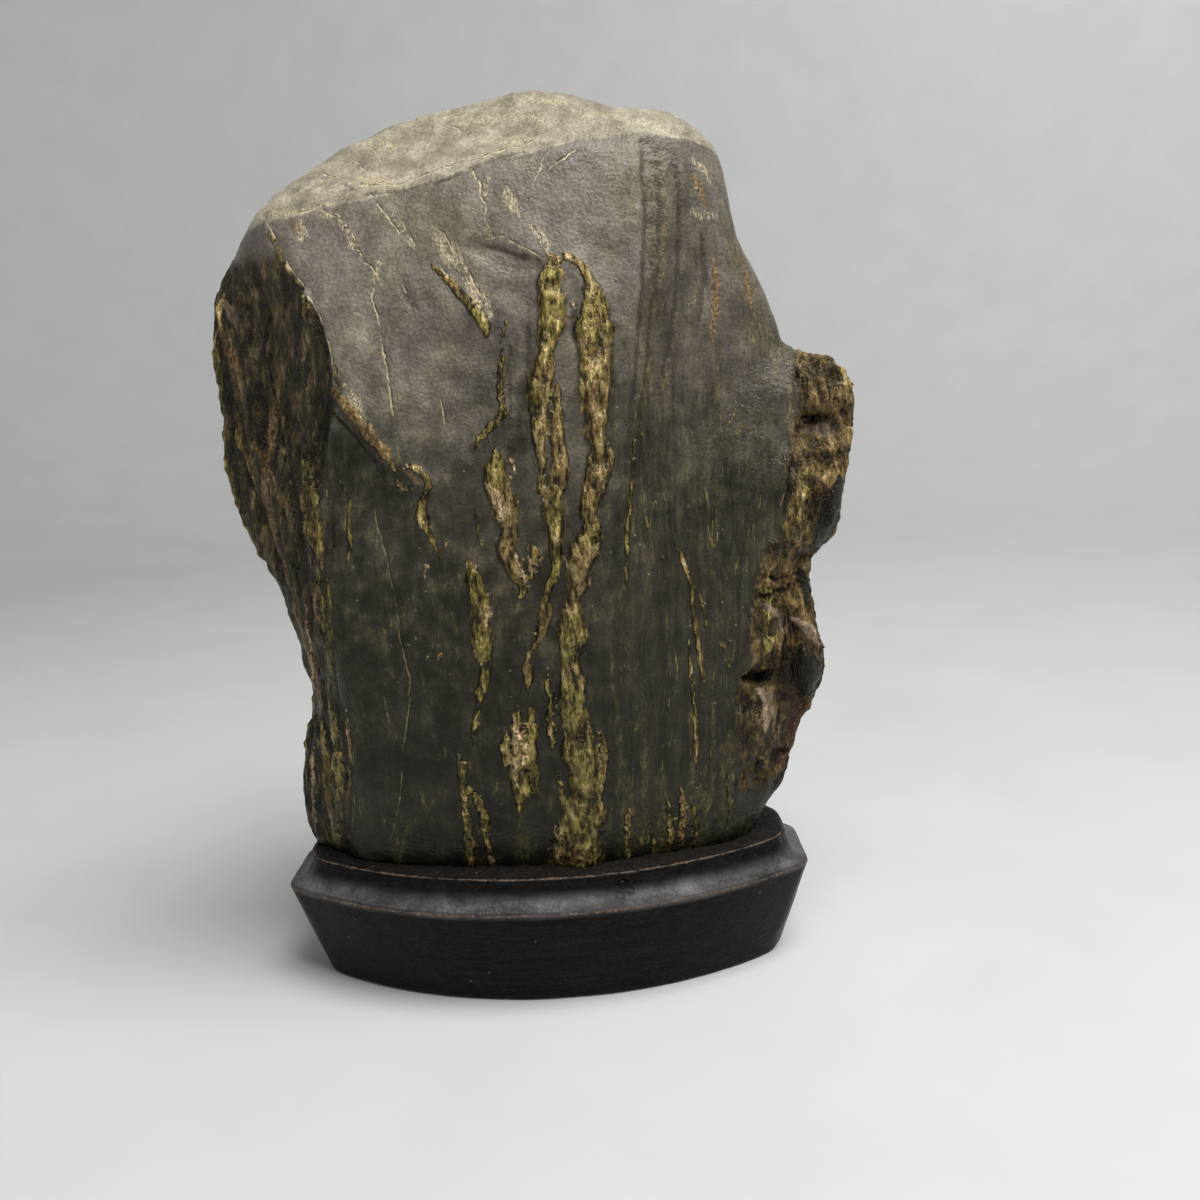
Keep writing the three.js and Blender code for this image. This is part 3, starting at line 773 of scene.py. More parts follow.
def sunk_slots(tree, bent, fields):
    """Depth of the dark slots in mm, and their nearness kept with the other fields."""
    sink = np.zeros(len(bent))
    for width, depth, points in DARK_SLOTS:
        slot = np.full(len(bent), -1.0)
        nearness(bent, seen_line(tree, points, width), slot)
        fields["slot"] = np.maximum(fields["slot"], slot)
        sink = np.maximum(sink, depth * smooth_step(-0.5, 0.8, slot))
    return sink


def shaped_strokes(tree, bent):
    """Rise of the swells and hollows in mm."""
    shaped = np.zeros(len(bent))
    for width, height, points in SHAPED_STROKES:
        stroke = np.full(len(bent), -1.0)
        nearness(bent, seen_line(tree, points, width), stroke)
        shaped += height * smooth_step(-0.5, 0.8, stroke)
    return shaped


def make_stone():
    """The stone: the CAD stone rounded, with veins, splits, pits and bedding raised on it."""
    stone = rounded_copy("stone", "viewing_stone", ROUNDING_LEVELS)
    mesh = stone.data
    tree = surface_tree(stone)
    places = vertex_places(mesh)
    normals = vertex_normals(mesh)
    count = len(places)
    bent = wandered(places)
    fields, girth = drawn_fields(tree, places, bent)
    sink = sunk_slots(tree, bent, fields)
    shaped = shaped_strokes(tree, bent)
    rise = np.zeros(count)
    cracks = [seen_line(tree, points, 1.0, taper=False) for points in PALE_CRACKS]
    offset, strength = line_offsets(places * 0.4 + bent * 0.6, normals, cracks)

    x = places[:, 0]
    z = places[:, 2]
    ridge = over(CROWN_RIDGE, x)
    front = smooth_step(-0.15, 0.35, -normals[:, 1])
    back = smooth_step(0.0, 0.4, normals[:, 1])
    # Pale crown: partly the stone's own paler top, partly painted light on the up-facing surfaces.
    crown = smooth_step(-2.0, 1.5, z - ridge) * smooth_step(0.15, 0.55, normals[:, 2] + 0.1)
    crown = np.maximum(crown, smooth_step(0.45, 0.8, normals[:, 2]) * smooth_step(120, 150, z))
    crown = crown + back * (smooth_step(140, 176, z) - crown) * 0.8
    edge_line = sorted((place.z, place.x) for place, width in seen_line(tree, FLANK_EDGE, 1.0))
    left_flank = smooth_step(-0.8, 1.4, over(edge_line, z) - x) * (1 - 0.8 * smooth_step(148, 158, z))
    right_part = smooth_step(-2.0, 3.0, x - over(RIGHT_CREASE, z))
    step_wander = 2.4 * rock_noise(places, (0.12, 0.12, 0.12), (6, 1, 2), 3)
    knobs = smooth_step(-3.0, 1.0, x + step_wander - over(RIGHT_STEP, z)) * smooth_step(34, 44, z)
    # Drier and paler towards the top: partly the stone's dry face, partly painted light from above.
    dry_and_top_light = smooth_step(DRY_FROM, DRY_TO, z) - 0.2 * right_part * front
    dry_and_top_light -= 0.3 * smooth_step(-0.8, 0.8, fields["waxed"])
    # Darker towards the bottom: partly painted shade of the lower face.
    low = 1.0 - smooth_step(DARK_TO, DARK_FROM, z)

    lumps = rock_noise(places, (0.45, 0.45, 0.28), (3, 7, 1), 4)
    crumbs = rock_noise(places, (1.3, 1.3, 1.0), (11, 2, 5), 3)
    bedding = rock_noise(places, (0.32, 0.32, 0.035), (1, 4, 9), 4)
    broad = rock_noise(places, (0.06, 0.06, 0.04), (8, 8, 2), 3)
    pits = rock_noise(places, (0.55, 0.55, 0.55), (5, 1, 3), 3)
    ridges = ridge_noise(places, (0.2, 0.2, 0.045), (2, 5, 8))
    creases = ridge_noise(places, (0.24, 0.24, 0.14), (7, 3, 1))

    beads = rock_noise(places, (0.34, 0.34, 0.24), (9, 4, 6), 2)
    corded = smooth_step(-0.15, 0.45, fields["ochre"])
    vein = corded * (0.7 + 0.9 * beads + 0.45 * lumps + 0.25 * crumbs)
    vein *= np.clip(girth / FULL_GIRTH, 0.2, 1.0)
    crust = smooth_step(-0.2, 0.4, fields["blush"]) * (0.6 + 0.8 * lumps + 0.3 * crumbs)
    rise += VEIN_RISE * np.maximum(vein, -0.1)
    rise += BLUSH_RISE * np.maximum(crust, -0.1)
    rise += TAN_RISE * smooth_step(-0.2, 0.4, fields["tan"])
    rise += LUMP_RISE * smooth_step(-0.4, 0.8, fields["gloss"])
    rise -= 0.3 * smooth_step(0.0, 0.6, fields["red"]) * (1.0 + crumbs)
    calm = 1.0 - 0.8 * smooth_step(-0.3, 0.5, fields["gloss"])
    rough = 0.35 + 0.65 * np.maximum(right_part, np.maximum(left_flank, back))
    rise += STRIA_DEPTH * bedding * rough * calm
    rise += GRAIN_DEPTH * crumbs * calm
    rise += FLANK_DEPTH * left_flank * (1 - back) * (0.7 * ridges + 0.4 * lumps + 0.3 * bedding)
    rise += BACK_DEPTH * back * (0.5 * ridges + 0.7 * broad + 0.35 * lumps)
    rise += CROWN_DEPTH * crown * (0.6 * broad + 0.7 * lumps)
    wrinkles = ridge_noise(places, (0.085, 0.085, 0.05), (3, 9, 4))
    rise += WRINKLE_DEPTH * front * (1 - knobs) * smooth_step(90, 130, z) * wrinkles
    swells = rock_noise(places, (0.14, 0.14, 0.1), (4, 2, 7), 2)
    rise += FACE_DEPTH * front * (1 - knobs) * (0.7 * broad + 0.5 * swells)
    rise -= KNOB_PIT_DEPTH * knobs * calm * np.maximum(0.0, pits + 0.15)
    rise += KNOB_PIT_DEPTH * knobs * calm * (0.6 * lumps + 0.7 * creases)
    rise += shaped
    rise -= CRACK_DEPTH * strength * (1.0 - smooth_step(0.0, 0.7, np.abs(offset)))
    rise -= sink
    rise -= FURROW_DEPTH * smooth_step(-0.5, 0.6, fields["shaded_furrow"])
    seated = smooth_step(SEAT_TOP - 6.0, SEAT_TOP, z)
    moved = places + normals * (rise * (0.3 + 0.7 * seated))[:, None]
    mesh.vertices.foreach_set("co", (moved * MM).astype(np.float32).ravel())
    mesh.update()
    for name, values in fields.items():
        if name not in ("waxed", "pale_painted_light"):
            store(mesh, name, values)
    store(mesh, "crack", offset)
    store(mesh, "crack_shown", strength)
    store(mesh, "crown", crown)
    store(mesh, "dry_and_top_light", dry_and_top_light)
    store(mesh, "low", low)
    weathered = 1 - 0.55 * smooth_step(110, 165, z)
    store(mesh, "flank", np.maximum(left_flank * (1 - 0.3 * back), 0.85 * back * weathered))
    store(mesh, "ribbed", right_part * front * (1 - knobs))
    store(mesh, "knobs", knobs)
    # Painted light on crests and painted shade in hollows, kept as relief for the finish.
    crest_light_and_hollow_shade = left_flank * ridges + knobs * (creases + 0.8 * shaped) + 0.8 * back * ridges
    crest_light_and_hollow_shade += 0.35 * smooth_step(-0.8, 0.6, fields["pale_painted_light"])
    crest_light_and_hollow_shade += corded * (0.7 * beads + 0.4 * lumps)
    store(mesh, "relief", crest_light_and_hollow_shade)
    mesh.shade_smooth()
    return stone


# Stand

STAND_HALF_LENGTH = 57.0
STAND_SIDE_RADIUS = 87.0
STAND_SIDE_CENTRE = 55.0
ARC_COLUMNS = 130
END_COLUMNS = 26
CORNER_STEPS = (0.0, 0.5, 1.2, 2.2, 3.5, 5.2)
CORNER_REACH = (8.0, 2.4)
CORNER_DRAW = 0.28
FOOT_ROWS = ((8.6, 6.6, 0.0), (7.6, 5.55, 0.12), (7.05, 5.0, 0.5), (6.8, 4.8, 1.2))
APRON_TOP = (0.38, 0.36, 20.7)
APRON_ROWS = 16
ARRIS_ROWS = ((0.2, 0.2, 21.3), (0.12, 0.12, 21.7), (0.22, 0.22, 22.05), (0.5, 0.5, 22.3))
COVE_START = (0.8, 22.4)
COVE_SIZE = (3.6, 4.8)
COVE_ROWS = 12
RIM_ROWS = ((4.42, 4.42, 27.45), (4.62, 4.62, 27.75), (5.0, 5.0, 27.95))
LEDGE_ROWS = 5
LEDGE_RISE = 0.6
SEAT_GAP = 0.35
SEAT_HEIGHTS = (27.6, 26.0, 24.0, 22.0, 20.6)
SEAT_FLOOR = 19.0
SEAT_AIM = 0.62
SEAT_DRAW = 0.85
FLOOR_DRAW = 0.9
MOUTH_INSET = 9.4
CARVING_WOBBLE = 0.16
CHIP_DEPTH = 0.4
ARRIS_WEAR = (0.5, 0.95, 0.85, 0.3)
RIM_WEAR = (0.55, 1.0, 0.6)


def stand_outline(inset, end_inset):
    """One level ring of the stand's plan with softened corners, as (x, y) in mm."""
    radius = STAND_SIDE_RADIUS - inset
    end = STAND_HALF_LENGTH - end_inset
    half = math.asin(end / radius)
    corner = radius * math.cos(half) - STAND_SIDE_CENTRE
    near = list(CORNER_STEPS[1:])
    clear = near[-1] * 1.5
    inner = half - clear / radius
    turns = [-half] + [-half + step / radius for step in near]
    turns += [inner * (2 * index / (ARC_COLUMNS - 1) - 1) for index in range(ARC_COLUMNS)]
    turns += [half - step / radius for step in reversed(near)]
    front = [(radius * math.sin(turn), STAND_SIDE_CENTRE - radius * math.cos(turn)) for turn in turns]
    spots = [-corner] + [-corner + step for step in near]
    spots += [(corner - clear) * (2 * index / (END_COLUMNS - 1) - 1) for index in range(END_COLUMNS)]
    spots += [corner - step for step in reversed(near)]
    ring = front + [(end, spot) for spot in spots]
    ring += [(-px, -py) for px, py in ring]
    reach = CORNER_REACH[1] + (CORNER_REACH[0] - CORNER_REACH[1]) * min(1.0, inset / FOOT_ROWS[0][0])
    out = []
    for px, py in ring:
        gap = math.hypot(abs(px) - end, abs(py) - corner)
        draw = CORNER_DRAW * reach * max(0.0, 1.0 - gap / reach) ** 2
        size = math.hypot(px, py)
        out.append((px * (1 - draw / size), py * (1 - draw / size)))
    return out


def seat_ring(tree, rim, height, fallback):
    """The stone's outline at one height with the seat's clearance, one point per column of the rim."""
    ring = []
    for index, (px, py) in enumerate(rim):
        aim = Vector((px * SEAT_AIM, 0.0, height))
        start = Vector((px, py, height))
        way = (aim - start).normalized()
        place = tree.ray_cast(start * MM, way)[0]
        if place is None:
            last = Vector((*fallback[index], height))
            spot = aim + (last - aim) * SEAT_DRAW
        else:
            spot = place / MM - way * SEAT_GAP
        ring.append((spot.x, spot.y))
    return ring


def stand_rows(tree):
    """Rings of the stand from the foot up and into the seat, each with height, wear, cove and ledge."""
    rows = []
    for inset, end_inset, height in FOOT_ROWS:
        rows.append((stand_outline(inset, end_inset), height, 0.5, 0.0, 0.0))
    foot = FOOT_ROWS[-1]
    for index in range(1, APRON_ROWS + 1):
        share = index / APRON_ROWS
        inset, end_inset, height = (a + (b - a) * share for a, b in zip(foot, APRON_TOP))
        worn = 0.5 * max(0.0, 1 - 4 * share) + 0.4 * max(0.0, share * 8 - 7)
        rows.append((stand_outline(inset, end_inset), height, worn, 0.0, 0.0))
    for (inset, end_inset, height), worn in zip(ARRIS_ROWS, ARRIS_WEAR):
        rows.append((stand_outline(inset, end_inset), height, worn, 0.5, 0.0))
    for index in range(COVE_ROWS + 1):
        turn = math.pi / 2 * index / COVE_ROWS
        inset = COVE_START[0] + COVE_SIZE[0] * math.sin(turn)
        height = COVE_START[1] + COVE_SIZE[1] * (1 - math.cos(turn))
        share = index / COVE_ROWS
        # The lower cove, and the arris at half, are painted paler: a painted reflection of the overhead
        # light.
        pale_painted_light = 1.0 - float(smooth_step(0.25, 0.8, share))
        rows.append((stand_outline(inset, inset), height, 0.0, pale_painted_light, 0.0))
    for (inset, end_inset, height), worn in zip(RIM_ROWS, RIM_WEAR):
        rows.append((stand_outline(inset, end_inset), height, worn, 0.0, 0.4))
    rim = stand_outline(RIM_ROWS[-1][0], RIM_ROWS[-1][1])
    rim_height = RIM_ROWS[-1][2]
    mouth = seat_ring(tree, rim, rim_height + LEDGE_RISE * 0.5, stand_outline(MOUTH_INSET, MOUTH_INSET))
    for index in range(1, LEDGE_ROWS + 1):
        share = index / LEDGE_ROWS
        ring = []
        for outer, inner in zip(rim, mouth):
            ring.append(tuple(a + (b - a) * share for a, b in zip(outer, inner)))
        rows.append((ring, rim_height + LEDGE_RISE * share * (1.6 - share), 0.0, 0.0, 1.0))
    last = mouth
    for height in SEAT_HEIGHTS:
        last = seat_ring(tree, last, height, last)
        rows.append((last, height, 0.0, 0.0, 1.0))
    rows.append(([(px * FLOOR_DRAW, py * FLOOR_DRAW) for px, py in last], SEAT_FLOOR, 0.0, 0.0, 1.0))
    return rows


def make_stand(stone):
    """The carved stand: flared apron, arris, cove and ledge round a seat cut to the stone's foot."""
    rows = stand_rows(surface_tree(stone))
    seat_start = len(rows) - len(SEAT_HEIGHTS) - 1
    bm = bmesh.new()
    column = bm.verts.layers.int.new("column")
    worn_layer = bm.verts.layers.float.new("worn")
    cove_layer = bm.verts.layers.float.new("cove")
    ledge_layer = bm.verts.layers.float.new("ledge")
    count = len(rows[0][0])
    loop = bmesh.ops.create_circle(bm, segments=count, radius=1.0, cap_ends=False)["verts"]
    for index, vert in enumerate(loop):
        vert[column] = index
    edges = list(bm.edges)
    bmesh.ops.contextual_create(bm, geom=edges)
    for number, (ring, height, worn, cove, ledge) in enumerate(rows):
        if number > 0:
            made = bmesh.ops.extrude_edge_only(bm, edges=edges)["geom"]
            loop = [part for part in made if isinstance(part, bmesh.types.BMVert)]
            edges = [part for part in made if isinstance(part, bmesh.types.BMEdge)]
        carved = 0.0 if number >= seat_start else 1.0
        for vert in loop:
            px, py = ring[vert[column]]
            spot = Vector((px, py, height))
            wobble = noise.noise(spot * 0.09) + 0.5 * noise.noise(spot * 0.3 + Vector((4, 1, 0)))
            chip = max(0.0, noise.noise(spot * 0.55 + Vector((9, 3, 5))) - 0.22)
            chip *= worn * min(1.0, height / 6)
            size = math.hypot(px, py)
            shift = carved * (CARVING_WOBBLE * wobble - CHIP_DEPTH * 2.2 * chip)
            if height <= 0.0:
                shift = 0.0
            lift = 0.12 * wobble * (1.0 if 0.0 < ledge < 1.0 or 0.0 < cove < 1.0 else 0.0)
            if ledge == 1.0 and carved:
                lift = 0.22 * noise.noise(spot * 0.35) + 0.1 * noise.noise(spot * 1.1)
            vert.co = Vector((px * (1 + shift / size), py * (1 + shift / size), height + lift)) * MM
            vert[worn_layer] = worn
            vert[cove_layer] = cove
            vert[ledge_layer] = ledge
    bmesh.ops.contextual_create(bm, geom=edges)
    bmesh.ops.recalc_face_normals(bm, faces=bm.faces)
    mesh = bpy.data.meshes.new("carved_stand")
    bm.to_mesh(mesh)
    bm.free()
    mesh.shade_smooth()
    mesh.set_sharp_from_angle(angle=math.radians(60))
    stand = bpy.data.objects.new("carved_stand", mesh)
    bpy.context.scene.collection.objects.link(stand)
    return stand


# Finishes: level and colour of each shade.

WAX_SHADES = (
    (0.34, (0.0065, 0.0061, 0.0036)), (0.46, (0.0195, 0.018, 0.0112)),
    (0.56, (0.0355, 0.0325, 0.0205)), (0.7, (0.085, 0.073, 0.045)),
)
BARE_SHADES = ((0.3, (0.132, 0.112, 0.096)), (0.5, (0.187, 0.16, 0.138)), (0.7, (0.25, 0.216, 0.187)))
MOSSY_SHADES = ((0.3, (0.105, 0.092, 0.065)), (0.5, (0.162, 0.143, 0.104)), (0.7, (0.24, 0.214, 0.162)))
RIB_SHADES = ((0.3, (0.12, 0.098, 0.058)), (0.7, (0.2, 0.168, 0.105)))
SCHIST_SHADES = (
    (0.28, (0.003, 0.0023, 0.0014)), (0.42, (0.014, 0.0102, 0.0047)),
    (0.52, (0.042, 0.031, 0.0125)), (0.64, (0.105, 0.077, 0.032)), (0.8, (0.25, 0.19, 0.095)),
)
KNOB_SHADES = (
    (0.28, (0.007, 0.0042, 0.002)), (0.42, (0.046, 0.028, 0.0095)),
    (0.54, (0.145, 0.092, 0.031)), (0.66, (0.26, 0.175, 0.07)), (0.8, (0.5, 0.38, 0.2)),
)
OLIVE_GOLD = (
    (0.28, (0.008, 0.006, 0.0016)), (0.4, (0.052, 0.041, 0.009)), (0.5, (0.15, 0.121, 0.028)),
    (0.63, (0.29, 0.232, 0.07)), (0.82, (0.54, 0.44, 0.19)),
)
BROWN_GOLD = (
    (0.28, (0.01, 0.006, 0.0022)), (0.4, (0.066, 0.043, 0.013)), (0.5, (0.18, 0.124, 0.041)),
    (0.63, (0.33, 0.238, 0.096)), (0.82, (0.66, 0.53, 0.31)),
)
OLIVE_SHADES = ((0.36, (0.014, 0.012, 0.005)), (0.52, (0.07, 0.057, 0.02)), (0.66, (0.2, 0.16, 0.06)))
RUST_SHADES = ((0.3, (0.035, 0.02, 0.008)), (0.5, (0.15, 0.09, 0.036)), (0.7, (0.42, 0.29, 0.15)))
TAN_SHADES = ((0.3, (0.08, 0.054, 0.034)), (0.5, (0.21, 0.148, 0.1)), (0.75, (0.38, 0.29, 0.2)))
RED_SHADES = ((0.3, (0.014, 0.006, 0.004)), (0.55, (0.075, 0.036, 0.023)), (0.75, (0.16, 0.09, 0.06)))
BLUSH_SHADES = ((0.32, (0.1, 0.06, 0.025)), (0.48, (0.3, 0.2, 0.095)), (0.64, (0.72, 0.55, 0.34)))
GLOSS_SHADES = ((0.3, (0.003, 0.0034, 0.002)), (0.7, (0.008, 0.009, 0.0055)))
CROWN_SHADES = ((0.3, (0.2, 0.175, 0.125)), (0.5, (0.32, 0.284, 0.207)), (0.7, (0.48, 0.43, 0.32)))
SCAR_SHADES = ((0.35, (0.09, 0.07, 0.04)), (0.5, (0.2, 0.165, 0.1)), (0.65, (0.5, 0.42, 0.28)))
CREAM = (0.62, 0.52, 0.33)
FURROW_SHADE_BROWN = (0.028, 0.023, 0.015)
SLOT_AND_CRACK_SHADE = (0.006, 0.005, 0.0035)
DULL_CRACK = (0.17, 0.132, 0.062)
GROOVE_DARK = (0.012, 0.012, 0.008)
VEIN_SHADOW = (0.014, 0.012, 0.008)
PALE_SPECK_AND_GLINT = (0.42, 0.38, 0.3)
SLATE_SHINE = 0.28
SLATE_SHINE_TINT = (1.0, 0.95, 0.82)

# Field, crumbling grain, crumble, softness, strength, shading grain and shades of each crust.
CRUSTS = (
    ("rust", "edge", 2.6, 0.3, 0.75, "crumb", RUST_SHADES),
    ("tan", "edge", 1.4, 0.2, 0.9, "mottle", TAN_SHADES),
    ("red", "edge", 1.2, 0.2, 1.0, "crumb", RED_SHADES),
    ("blush", "crumb", 3.6, 0.3, 0.95, "fibre", BLUSH_SHADES),
    ("gloss", "edge", 0.7, 0.15, 0.95, "patch", GLOSS_SHADES),
)


def new_finish(name):
    """An empty node material with its surface shader."""
    material = bpy.data.materials.new(name)
    material.use_nodes = True
    tree = material.node_tree
    tree.nodes.clear()
    output = tree.nodes.new("ShaderNodeOutputMaterial")
    surface = tree.nodes.new("ShaderNodeBsdfPrincipled")
    tree.links.new(surface.outputs["BSDF"], output.inputs["Surface"])
    return material, tree, surface


def feed(tree, socket, value):
    """Sets a socket to a number or colour, or links it."""
    if isinstance(value, bpy.types.NodeSocket):
        tree.links.new(value, socket)
    elif isinstance(value, tuple) and len(value) == 3 and socket.type == "RGBA":
        socket.default_value = (*value, 1.0)
    else:
        socket.default_value = value


def sums(tree, kind, first, second=0.0, third=0.0, clamp=False):
    """One arithmetic step."""
    node = tree.nodes.new("ShaderNodeMath")
    node.operation = kind
    node.use_clamp = clamp
    for socket, value in zip(node.inputs, (first, second, third)):
        feed(tree, socket, value)
    return node.outputs[0]


def kept(tree, name):
    """A number kept on the mesh."""
    node = tree.nodes.new("ShaderNodeAttribute")
    node.attribute_name = name
    return node.outputs["Fac"]


def in_mm(tree, stretch=(1.0, 1.0, 1.0), turn=(0.0, 0.0, 0.0)):
    """Object coordinates in mm, turned and then stretched."""
    coords = tree.nodes.new("ShaderNodeTexCoord")
    place = tree.nodes.new("ShaderNodeMapping")
    place.vector_type = "TEXTURE"
    place.inputs["Rotation"].default_value = [math.radians(angle) for angle in turn]
    place.inputs["Scale"].default_value = [MM / part for part in stretch]
    tree.links.new(coords.outputs["Object"], place.inputs["Vector"])
    return place.outputs["Vector"]


def speckle(tree, coords, scale, detail=3.0, rough=0.55, warp=0.0):
    """Cloudy noise, 0 to 1."""
    node = tree.nodes.new("ShaderNodeTexNoise")
    node.inputs["Scale"].default_value = scale
    node.inputs["Detail"].default_value = detail
    node.inputs["Roughness"].default_value = rough
    node.inputs["Distortion"].default_value = warp
    tree.links.new(coords, node.inputs["Vector"])
    return node.outputs["Fac"]


def cells(tree, coords, scale, feature="F1"):
    """Distance within scattered cells."""
    node = tree.nodes.new("ShaderNodeTexVoronoi")
    node.feature = feature
    node.inputs["Scale"].default_value = scale
    tree.links.new(coords, node.inputs["Vector"])
    return node.outputs["Distance"]


def eased(tree, value, low, high, start=0.0, end=1.0):
    """A smooth step between two levels."""
    node = tree.nodes.new("ShaderNodeMapRange")
    node.interpolation_type = "SMOOTHSTEP"
    feed(tree, node.inputs["Value"], value)
    feed(tree, node.inputs["From Min"], low)
    feed(tree, node.inputs["From Max"], high)
    node.inputs["To Min"].default_value = start
    node.inputs["To Max"].default_value = end
    return node.outputs["Result"]


def ragged(tree, field, crumble, amount, soft):
    """A field cut off along a crumbling edge."""
    shifted = sums(tree, "MULTIPLY_ADD", sums(tree, "SUBTRACT", crumble, 0.5), amount, field)
    return eased(tree, shifted, -soft, soft)


def shades(tree, level, stops):
    """Colours along a level from 0 to 1."""
    node = tree.nodes.new("ShaderNodeValToRGB")
    marks = node.color_ramp.elements
    while len(marks) < len(stops):
        marks.new(0.5)
    for mark, (place, colour) in zip(marks, stops):
        mark.position = place
        mark.color = (*colour, 1.0)
    feed(tree, node.inputs["Fac"], level)
    return node.outputs["Color"]


def laid(tree, share, under, top, way="MIX"):
    """One colour laid over another."""
    node = tree.nodes.new("ShaderNodeMix")
    node.data_type = "RGBA"
    node.blend_type = way
    feed(tree, node.inputs[0], share)
    feed(tree, node.inputs[6], under)
    feed(tree, node.inputs[7], top)
    return node.outputs[2]


def partly_laid(tree, mask, strength, under, top):
    """One colour laid over another where a mask shows, at a strength."""
    return laid(tree, sums(tree, "MULTIPLY", mask, strength), under, top)


def relief(tree, height):
    """Fine relief from a height in mm."""
    node = tree.nodes.new("ShaderNodeBump")
    node.inputs["Strength"].default_value = 1.0
    node.inputs["Distance"].default_value = MM
    feed(tree, node.inputs["Height"], height)
    return node.outputs["Normal"]


def slate_grains(tree):
    """The noises that the slate's colours and relief share."""
    plain = in_mm(tree)
    upright = in_mm(tree, (1.0, 1.0, 0.085), (0.0, 3.0, 0.0))
    strands = in_mm(tree, (1.0, 1.0, 0.35))
    slanted = in_mm(tree, (1.0, 1.0, 0.22), (0.0, 16.0, 0.0))
    return {
        "flakes": speckle(tree, slanted, 0.5, 4.0, 0.7),
        "threads": speckle(tree, in_mm(tree, (1.0, 1.0, 0.04), (0.0, 3.0, 0.0)), 0.3, 2.0, 0.5),
        "streaks": speckle(tree, upright, 0.55, 3.0, 0.66),
        "fine": speckle(tree, upright, 2.0, 1.0, 0.6),
        "cloud": speckle(tree, plain, 0.06, 2.0, 0.6),
        "patch": speckle(tree, plain, 0.2, 4.0, 0.64),
        "mottle": speckle(tree, strands, 0.55, 3.0, 0.65),
        "fibre": speckle(tree, strands, 1.1, 3.0, 0.72),
        "crumb": speckle(tree, plain, 1.3, 2.0, 0.68),
        "sand": speckle(tree, plain, 1.5, 1.0, 0.6),
        "edge": speckle(tree, strands, 0.8, 3.0, 0.72),
        "specks": cells(tree, plain, 0.24),
    }


def added(tree, base, grain, amount):
    """A level with a grain's swing about its middle added."""
    return sums(tree, "MULTIPLY_ADD", sums(tree, "SUBTRACT", grain, 0.5), amount, base)


def shared(tree, name):
    """A 0 to 1 mask of the mesh stretched to -1 to 1, to be cut along a crumbling edge."""
    return sums(tree, "MULTIPLY_ADD", kept(tree, name), 2.0, -1.0)


def stone_ground(tree, grains, dry_and_top_light):
    """Colour of the stone: waxed, bare, ribbed, schist and knobs, paler towards the top with painted light
    from above and darker towards the bottom with painted shade.
    """
    ribbed = kept(tree, "ribbed")
    bands = sums(tree, "MULTIPLY_ADD", ribbed, 0.7, 0.2)
    waxed = added(tree, grains["patch"], grains["mottle"], 0.5)
    banded = added(tree, added(tree, 0.5, grains["streaks"], 0.6), grains["patch"], 0.4)
    wax = laid(tree, bands, shades(tree, waxed, WAX_SHADES), shades(tree, banded, WAX_SHADES))
    mossy = eased(tree, added(tree, grains["cloud"], grains["mottle"], 0.4), 0.4, 0.68)
    moss = shades(tree, grains["patch"], MOSSY_SHADES)
    bare = laid(tree, mossy, shades(tree, grains["patch"], BARE_SHADES), moss)
    colour = laid(tree, dry_and_top_light, wax, bare)
    ribs = sums(tree, "MULTIPLY", ribbed, eased(tree, grains["fine"], 0.5, 0.66, 0.0, 0.1))
    colour = laid(tree, ribs, colour, shades(tree, grains["mottle"], RIB_SHADES))
    grooved = eased(tree, grains["fine"], 0.5, 0.36, 0.0, 0.1)
    furrows = sums(tree, "MULTIPLY", sums(tree, "ADD", ribbed, 0.15), grooved)
    colour = laid(tree, furrows, colour, GROOVE_DARK)
    flank = ragged(tree, shared(tree, "flank"), grains["edge"], 1.0, 0.3)
    bedded = added(tree, added(tree, grains["flakes"], grains["fibre"], 0.8), grains["patch"], 0.7)
    schist = shades(tree, bedded, SCHIST_SHADES)
    colour = partly_laid(tree, flank, 0.92, colour, schist)
    knobs = ragged(tree, shared(tree, "knobs"), grains["edge"], 1.2, 0.3)
    rind = shades(tree, added(tree, grains["patch"], grains["fibre"], 0.9), KNOB_SHADES)
    colour = partly_laid(tree, knobs, 0.9, colour, rind)
    # Darkened towards the bottom: partly painted shade of the lower face.
    darker_below = eased(tree, kept(tree, "low"), 0.0, 1.0, 1.0, 0.42)
    lifted = sums(tree, "MULTIPLY", ribbed, kept(tree, "low"))
    darker_below = sums(tree, "MULTIPLY", darker_below, sums(tree, "MULTIPLY_ADD", lifted, 0.4, 1.0))
    colour = laid(tree, 1.0, colour, darker_below, "MULTIPLY")
    thread = sums(tree, "ABSOLUTE", sums(tree, "SUBTRACT", grains["threads"], 0.5))
    thread = eased(tree, thread, 0.012, 0.003)
    where = sums(tree, "MULTIPLY_ADD", ribbed, 0.45, 0.3)
    scattered = eased(tree, added(tree, grains["patch"], grains["edge"], 0.5), 0.47, 0.6)
    where = sums(tree, "MULTIPLY", where, scattered)
    return partly_laid(tree, thread, where, colour, shades(tree, grains["fibre"], OLIVE_GOLD))


